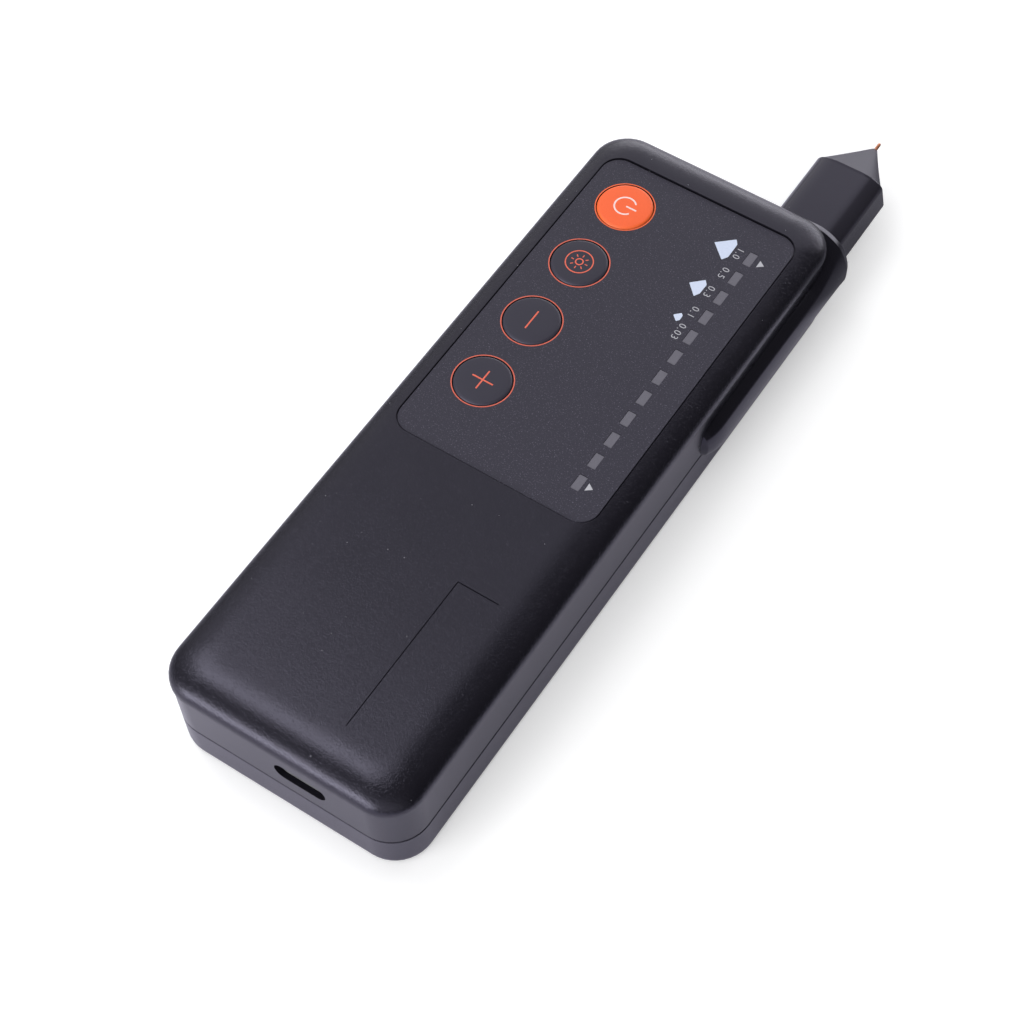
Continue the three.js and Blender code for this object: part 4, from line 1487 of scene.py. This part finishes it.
@dataclass
class Probe(SubAssembly):
    """The flat glossy sleeve, its tapered nose and the copper needle."""

    half_width: float = 6.55
    half_height: float = 5.6
    corner: float = 3.7
    squat: float = 0.76
    wall: float = 1.6
    seat: float = 59.5
    end: float = 81.3
    tip: float = 91.5
    needle_end: float = 93.5
    edge: float = 0.5
    skim: float = 0.05
    slant: float = 17.0
    blunt: float = 0.55

    def build(self) -> None:
        """Make the three outer pieces."""
        self.build_sleeve()
        self.build_nose()
        self.build_needle()

    def ring(self, y: float, wide: float, high: float, corner: float) -> Piece:
        """One cross-section of the sleeve or the nose.

        Args:
            y: Its place along the probe.
            wide: Half of its width.
            high: Half of its height.
            corner: How far its corners reach across.

        Returns:
            The section as a flat face.
        """
        tall = corner * self.squat
        left, right, low, top = around(self.probe_x, self.probe_z, wide - corner, high - tall)
        corners = [(right, top), (left, top), (left, low), (right, low)]
        return face_of("section", [(x, y, z) for x, z in arcs(corners, [corner] * 4, [tall] * 4, 10)])

    def lean(self, piece: Piece, span: Flat, high: float, share: float) -> None:
        """Turn some cross-sections about their upper side, so that their lower side is further forward.

        Args:
            piece: The sleeve or the nose.
            span: Where the cross-sections start and end along the probe.
            high: Half of their height.
            share: How much of the full slant they get.
        """
        edit(piece)
        first, last = (span[0] - 0.01) * MM, (span[1] + 0.01) * MM
        pick(piece, lambda place: first < place.y < last)
        angle = -math.radians(self.slant) * share
        pivot = vector((self.probe_x, span[1], self.probe_z + high))
        bpy.ops.transform.rotate(value=angle, orient_axis="X", center_override=pivot)
        leave()

    def build_sleeve(self) -> None:
        """Make the hollow sleeve, with its slanted and rounded mouth."""
        wide, high = self.half_width, self.half_height
        rings = [self.ring(self.seat, wide, high, self.corner)]
        for cosine, sine in quarter(4):
            drop, y = 1 - cosine, self.end - self.edge * (1 - sine)
            rings.append(self.ring(y, wide - self.edge * drop, high - self.skim * drop, self.corner))
        sleeve = bridged("probe_tube", rings, Axis.ALONG)
        self.lean(sleeve, (self.end - self.edge, self.end), high, 1.0)
        inner = around(self.probe_x, self.probe_z, wide - self.wall, high - self.wall)
        span = (self.seat - 1, self.end - self.seat - 2)
        carve(sleeve, block("bore", inner, span, 1.0, 6, Axis.ALONG))
        self.keep(settle(sleeve), SLEEVE, "probe_sleeve")

    def build_nose(self) -> None:
        """Make the tapered nose."""
        wide, high = self.half_width - self.edge - 0.02, self.half_height - self.skim - 0.02
        rings, leans = [], []
        for step in range(9):
            share = step / 8
            now_high = high + (self.blunt - high) * share
            corner = (self.corner - 0.3) * (1 - share) + 0.9 * self.blunt * share
            y = self.end + (self.tip - 0.08 - self.end) * share
            rings.append(self.ring(y, wide + (self.blunt - wide) * share, now_high, corner))
            leans.append(((y, y), now_high, 1 - share))
        rings.append(self.ring(self.tip, 0.45, 0.45, 0.4))
        nose = bridged("probe_cone", rings, Axis.ALONG)
        for lean in reversed(leans[:-1]):
            self.lean(nose, *lean)
        carve(nose, rod("bore", 0.4, 14, (self.probe_x, self.end - 1, self.probe_z), Axis.ALONG, 24))
        self.keep(settle(nose, 40), NOSE, "probe_nose")

    def build_needle(self) -> None:
        """Make the copper needle with its rounded tip."""
        start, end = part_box("probe_needle")[0][1] / MM, self.needle_end
        profile = [(0, start), (0.3, start), (0.3, end - 0.45), (0.27, end - 0.25)]
        profile += [(0.2, end - 0.1), (0.1, end - 0.02), (0, end)]
        needle = turned("needle_wire", profile, (self.probe_x, 0, self.probe_z), Axis.ALONG, 32)
        self.keep(settle(needle, 40), COPPER, "probe_needle", body="needle")


@dataclass
class ReturnSpring(SubAssembly):
    """The coil behind the needle's heater; in the real tester it shortens as the needle goes in."""

    radius: float = 1.35
    wire: float = 0.2
    sides: int = 10
    turns: int = 8
    steps: int = 24
    travel: float = 1.2

    def build(self) -> None:
        """Wind the coil and hang it on the case."""
        start, end = (corner[1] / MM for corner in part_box("probe_spring"))
        corners = []
        for number in range(self.sides):
            angle = number / self.sides * 2 * math.pi
            out, along = self.wire * math.cos(angle), self.wire * (1 + math.sin(angle))
            corners.append((self.radius + out, start + along, 0))
        coil = face_of("spring_coil", corners)
        bare(coil)
        leave()
        rise = (end - start - 2 * self.wire) / self.turns * MM
        wound = {"axis": "Y", "angle": 2 * math.pi, "iterations": self.turns, "screw_offset": rise}
        modified(coil, "SCREW", steps=self.steps, render_steps=self.steps, **wound)
        edit(coil)
        whole()
        bpy.ops.transform.translate(value=vector((self.probe_x, 0, self.probe_z)))
        bpy.ops.mesh.fill_holes(sides=0)
        leave_outward()
        self.keep(settle(coil, 50), STEEL, "probe_spring")
        anchor = vector((self.probe_x, start, self.probe_z))
        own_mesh(coil)


@dataclass
class VioletLamp(SubAssembly):
    """The small lamp in the head wall."""

    radius: float = 2.5
    flange: float = 2.9

    def build(self) -> None:
        """Make the lamp's flanged body with its rounded tip."""
        start, end = (corner[1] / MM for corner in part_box("uv_lamp"))
        profile = [(0, start), (self.flange, start), (self.flange, start + 1), (self.radius, start + 1)]
        profile += [(self.radius * cosine, end - self.radius * (1 - sine)) for cosine, sine in quarter(8)]
        lamp = turned("violet_lamp", profile, (self.lamp_x, 0, self.lamp_z), Axis.ALONG)
        self.keep(settle(lamp, 40), VIOLET, "uv_lamp")


@dataclass
class Insides(SubAssembly):
    """The CAD pieces that stay as they are and only get their finish, black if none is named."""

    dress: tuple[tuple[Finish, tuple[str, ...]], ...] = (
        (PALE_INSULATOR, ("switch_plunger", "light_baffle", "battery_plug")),
        (PALE_INSULATOR, ("probe_carrier", "probe_end_plug", "probe_plug")),
        (PALE_LAMP, ("led_",)),
        (BOARD, ("main_pcb",)),
        (STEEL, ("uv_lamp_leg", "probe_heater")),
        (CELL, ("battery_cell",)),
        (PAD_FOAM, ("battery_pad",)),
        (RED_LEAD, ("battery_lead_red", "probe_lead_red")),
        (BLACK_LEAD, ("battery_lead_black", "probe_lead_black")),
    )

    def build(self) -> None:
        """Give each remaining CAD node its finish."""
        for name, node in sorted(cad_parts.items()):
            if node.hide_render:
                continue
            finish = next((finish for finish, starts in self.dress if name.startswith(starts)), BLACK_PART)
            node.data.materials.clear()
            node.data.materials.append(finish.material())
            LOG.info("%s: %s", name, finish.name)


@dataclass
class Studio:
    """White floor, soft light and the camera at the picture's angle."""

    eye: Place = (0.114785, -0.155078, 0.304398)
    azimuth: float = 32.53
    elevation: float = 57.87
    lens: float = 76.215
    shift: float = -0.0882
    lamps: tuple[tuple[str, Place, Flat, float, bool], ...] = (
        ("overhead", (-0.5, 0.07, 1.11), (0.34, 0.56), 1.95, True),
        ("front", (-0.34, -1.04, 0.32), (0.9, 0.6), 8.4, True),
        ("back", (-0.12, 1.2, 0.24), (1.4, 0.5), 4.7, True),
        ("fill", (0.1, -0.2, 1.4), (1.6, 1.6), 9.0, False),
    )

    def build(self) -> None:
        """Make the floor, the light and the camera."""
        self.floor()
        self.world()
        for lamp in self.lamps:
            self.lamp(*lamp)
        self.camera()

    def floor(self) -> None:
        """Lay the floor: white to the camera, with the object's shadow, and with painted shade where other
        rays meet it.
        """
        bpy.ops.mesh.primitive_plane_add(size=6, location=(0, 0, 0))
        floor = bpy.context.object
        floor.name = "floor"
        edit(floor)
        whole()
        bpy.ops.mesh.subdivide(number_cuts=3)
        leave()
        made = bpy.data.materials.new("floor_white")
        tree = Tree(made)
        cloud = tree.noise(900, 1)
        white = tree.mix(cloud, (0.86, 0.86, 0.87), (0.88, 0.88, 0.89))
        sheet = tree.mix(cloud, (0.84, 0.82, 0.95), (0.86, 0.84, 0.97))
        across, along, _ = tree.parts()
        # Painted shade on the floor for all rays but the camera's: darker past x 36 to 90 mm, beside the tail
        # on the left and under the probe.
        beside = (1 - across.within(-75, -38)) * along.within(-130, -60)
        below = across.within(16, 22) * along.within(60, 68) * (1 - across.within(36, 90)) * 0.7
        painted_shade = across.within(36, 90) + beside * 0.6 + below
        inputs = {"Roughness": 0.8, "Specular IOR Level": 0.2}
        plain_inputs = {**inputs, "Base Color": tree.mix(painted_shade, sheet, (0.05, 0.05, 0.06))}
        plain = tree.add("ShaderNodeBsdfPrincipled", {}, plain_inputs)
        glow = {"Emission Color": (1, 1, 1, 1), "Emission Strength": 0.36}
        bright = tree.add("ShaderNodeBsdfPrincipled", {}, {**inputs, **glow, "Base Color": white})
        mixed = tree.add("ShaderNodeMixShader", {}, {0: tree.direct(), 1: plain, 2: bright})
        tree.node("ShaderNodeOutputMaterial", {}, {"Surface": mixed})
        floor.data.materials.append(made)

    def world(self) -> None:
        """Light from all round, weaker from behind on the right, and white to the camera."""
        scene = bpy.context.scene
        scene.world = bpy.data.worlds.new("studio")
        tree = Tree(scene.world)
        clear = tree.direct()
        where = tree.add("ShaderNodeTexCoord", {}, {}, "Generated")
        split = tree.node("ShaderNodeSeparateXYZ", {}, {0: where})
        across, along = (Wire(tree, split.outputs[number]) for number in range(2))
        shift = along.within(0.54, 0.61) * 0.33
        right = (across - shift).within(-0.27, -0.04) * along.within(-0.7, 0.0)
        right = right * (1 - along.within(0.72, 0.88))
        dip = (1 - along.within(-0.12, 0.06)) * along.within(-0.62, -0.35)
        high = along.within(0.45, 0.75) * 0.35 + 0.64
        left = (1 - across.within(-0.96, -0.78)) * 0.65
        light = (1 - right * 0.94) * (1 - dip * 0.6) * (1 - left) * high
        strength = clear + light * (1 - clear)
        back = tree.add("ShaderNodeBackground", {}, {"Color": (1, 1, 1, 1), "Strength": strength})
        tree.node("ShaderNodeOutputWorld", {}, {"Surface": back})

    def lamp(self, name: str, place: Place, size: Flat, power: float, mirrored: bool) -> None:
        """Hang one soft lamp that faces the middle of the floor.

        Args:
            name: Its name.
            place: Where it hangs, in metres.
            size: Its width and height.
            power: Its power in watts.
            mirrored: Whether glossy surfaces mirror it.
        """
        bpy.ops.object.light_add(type="AREA", location=place)
        lamp = bpy.context.object
        lamp.name = name
        lamp.data.shape = "RECTANGLE"
        lamp.data.size, lamp.data.size_y = size
        lamp.data.energy = power
        lamp.visible_glossy = mirrored
        lamp.rotation_euler = (-Vector(place)).to_track_quat("-Z", "Y").to_euler()

    def camera(self) -> None:
        """Set the camera where the picture was taken from."""
        bpy.ops.object.camera_add(location=self.eye)
        camera = bpy.context.object
        turn, rise = math.radians(self.azimuth), math.radians(self.elevation)
        back = Vector((math.sin(turn) * math.cos(rise), -math.cos(turn) * math.cos(rise), math.sin(rise)))
        camera.rotation_euler = (-back).to_track_quat("-Z", "Y").to_euler()
        camera.data.lens = self.lens
        camera.data.sensor_width = 36
        camera.data.shift_x = self.shift
        camera.data.clip_start = 0.01
        bpy.context.scene.camera = camera


def main() -> None:
    """Build the sub-assemblies in order, dress what is left and set the studio."""
    logging.basicConfig(level=logging.INFO, format="%(name)s %(message)s")
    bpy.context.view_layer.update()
    keys = [Key(f"{kind.value}_key", kind=kind, y=y) for kind, y in zip(KeyKind, SubAssembly.key_rows)]
    groups = [TopShell(), BottomShell(), ScrewSet(), KeyPanel(), *keys, LightGuide()]
    groups += [ChargingSocket(), Probe(), ReturnSpring(), VioletLamp(), Insides()]
    for group in groups:
        group.build()
    Studio().build()
    bpy.context.scene.view_settings.view_transform = "Standard"


if __name__ == "__main__":
    main()
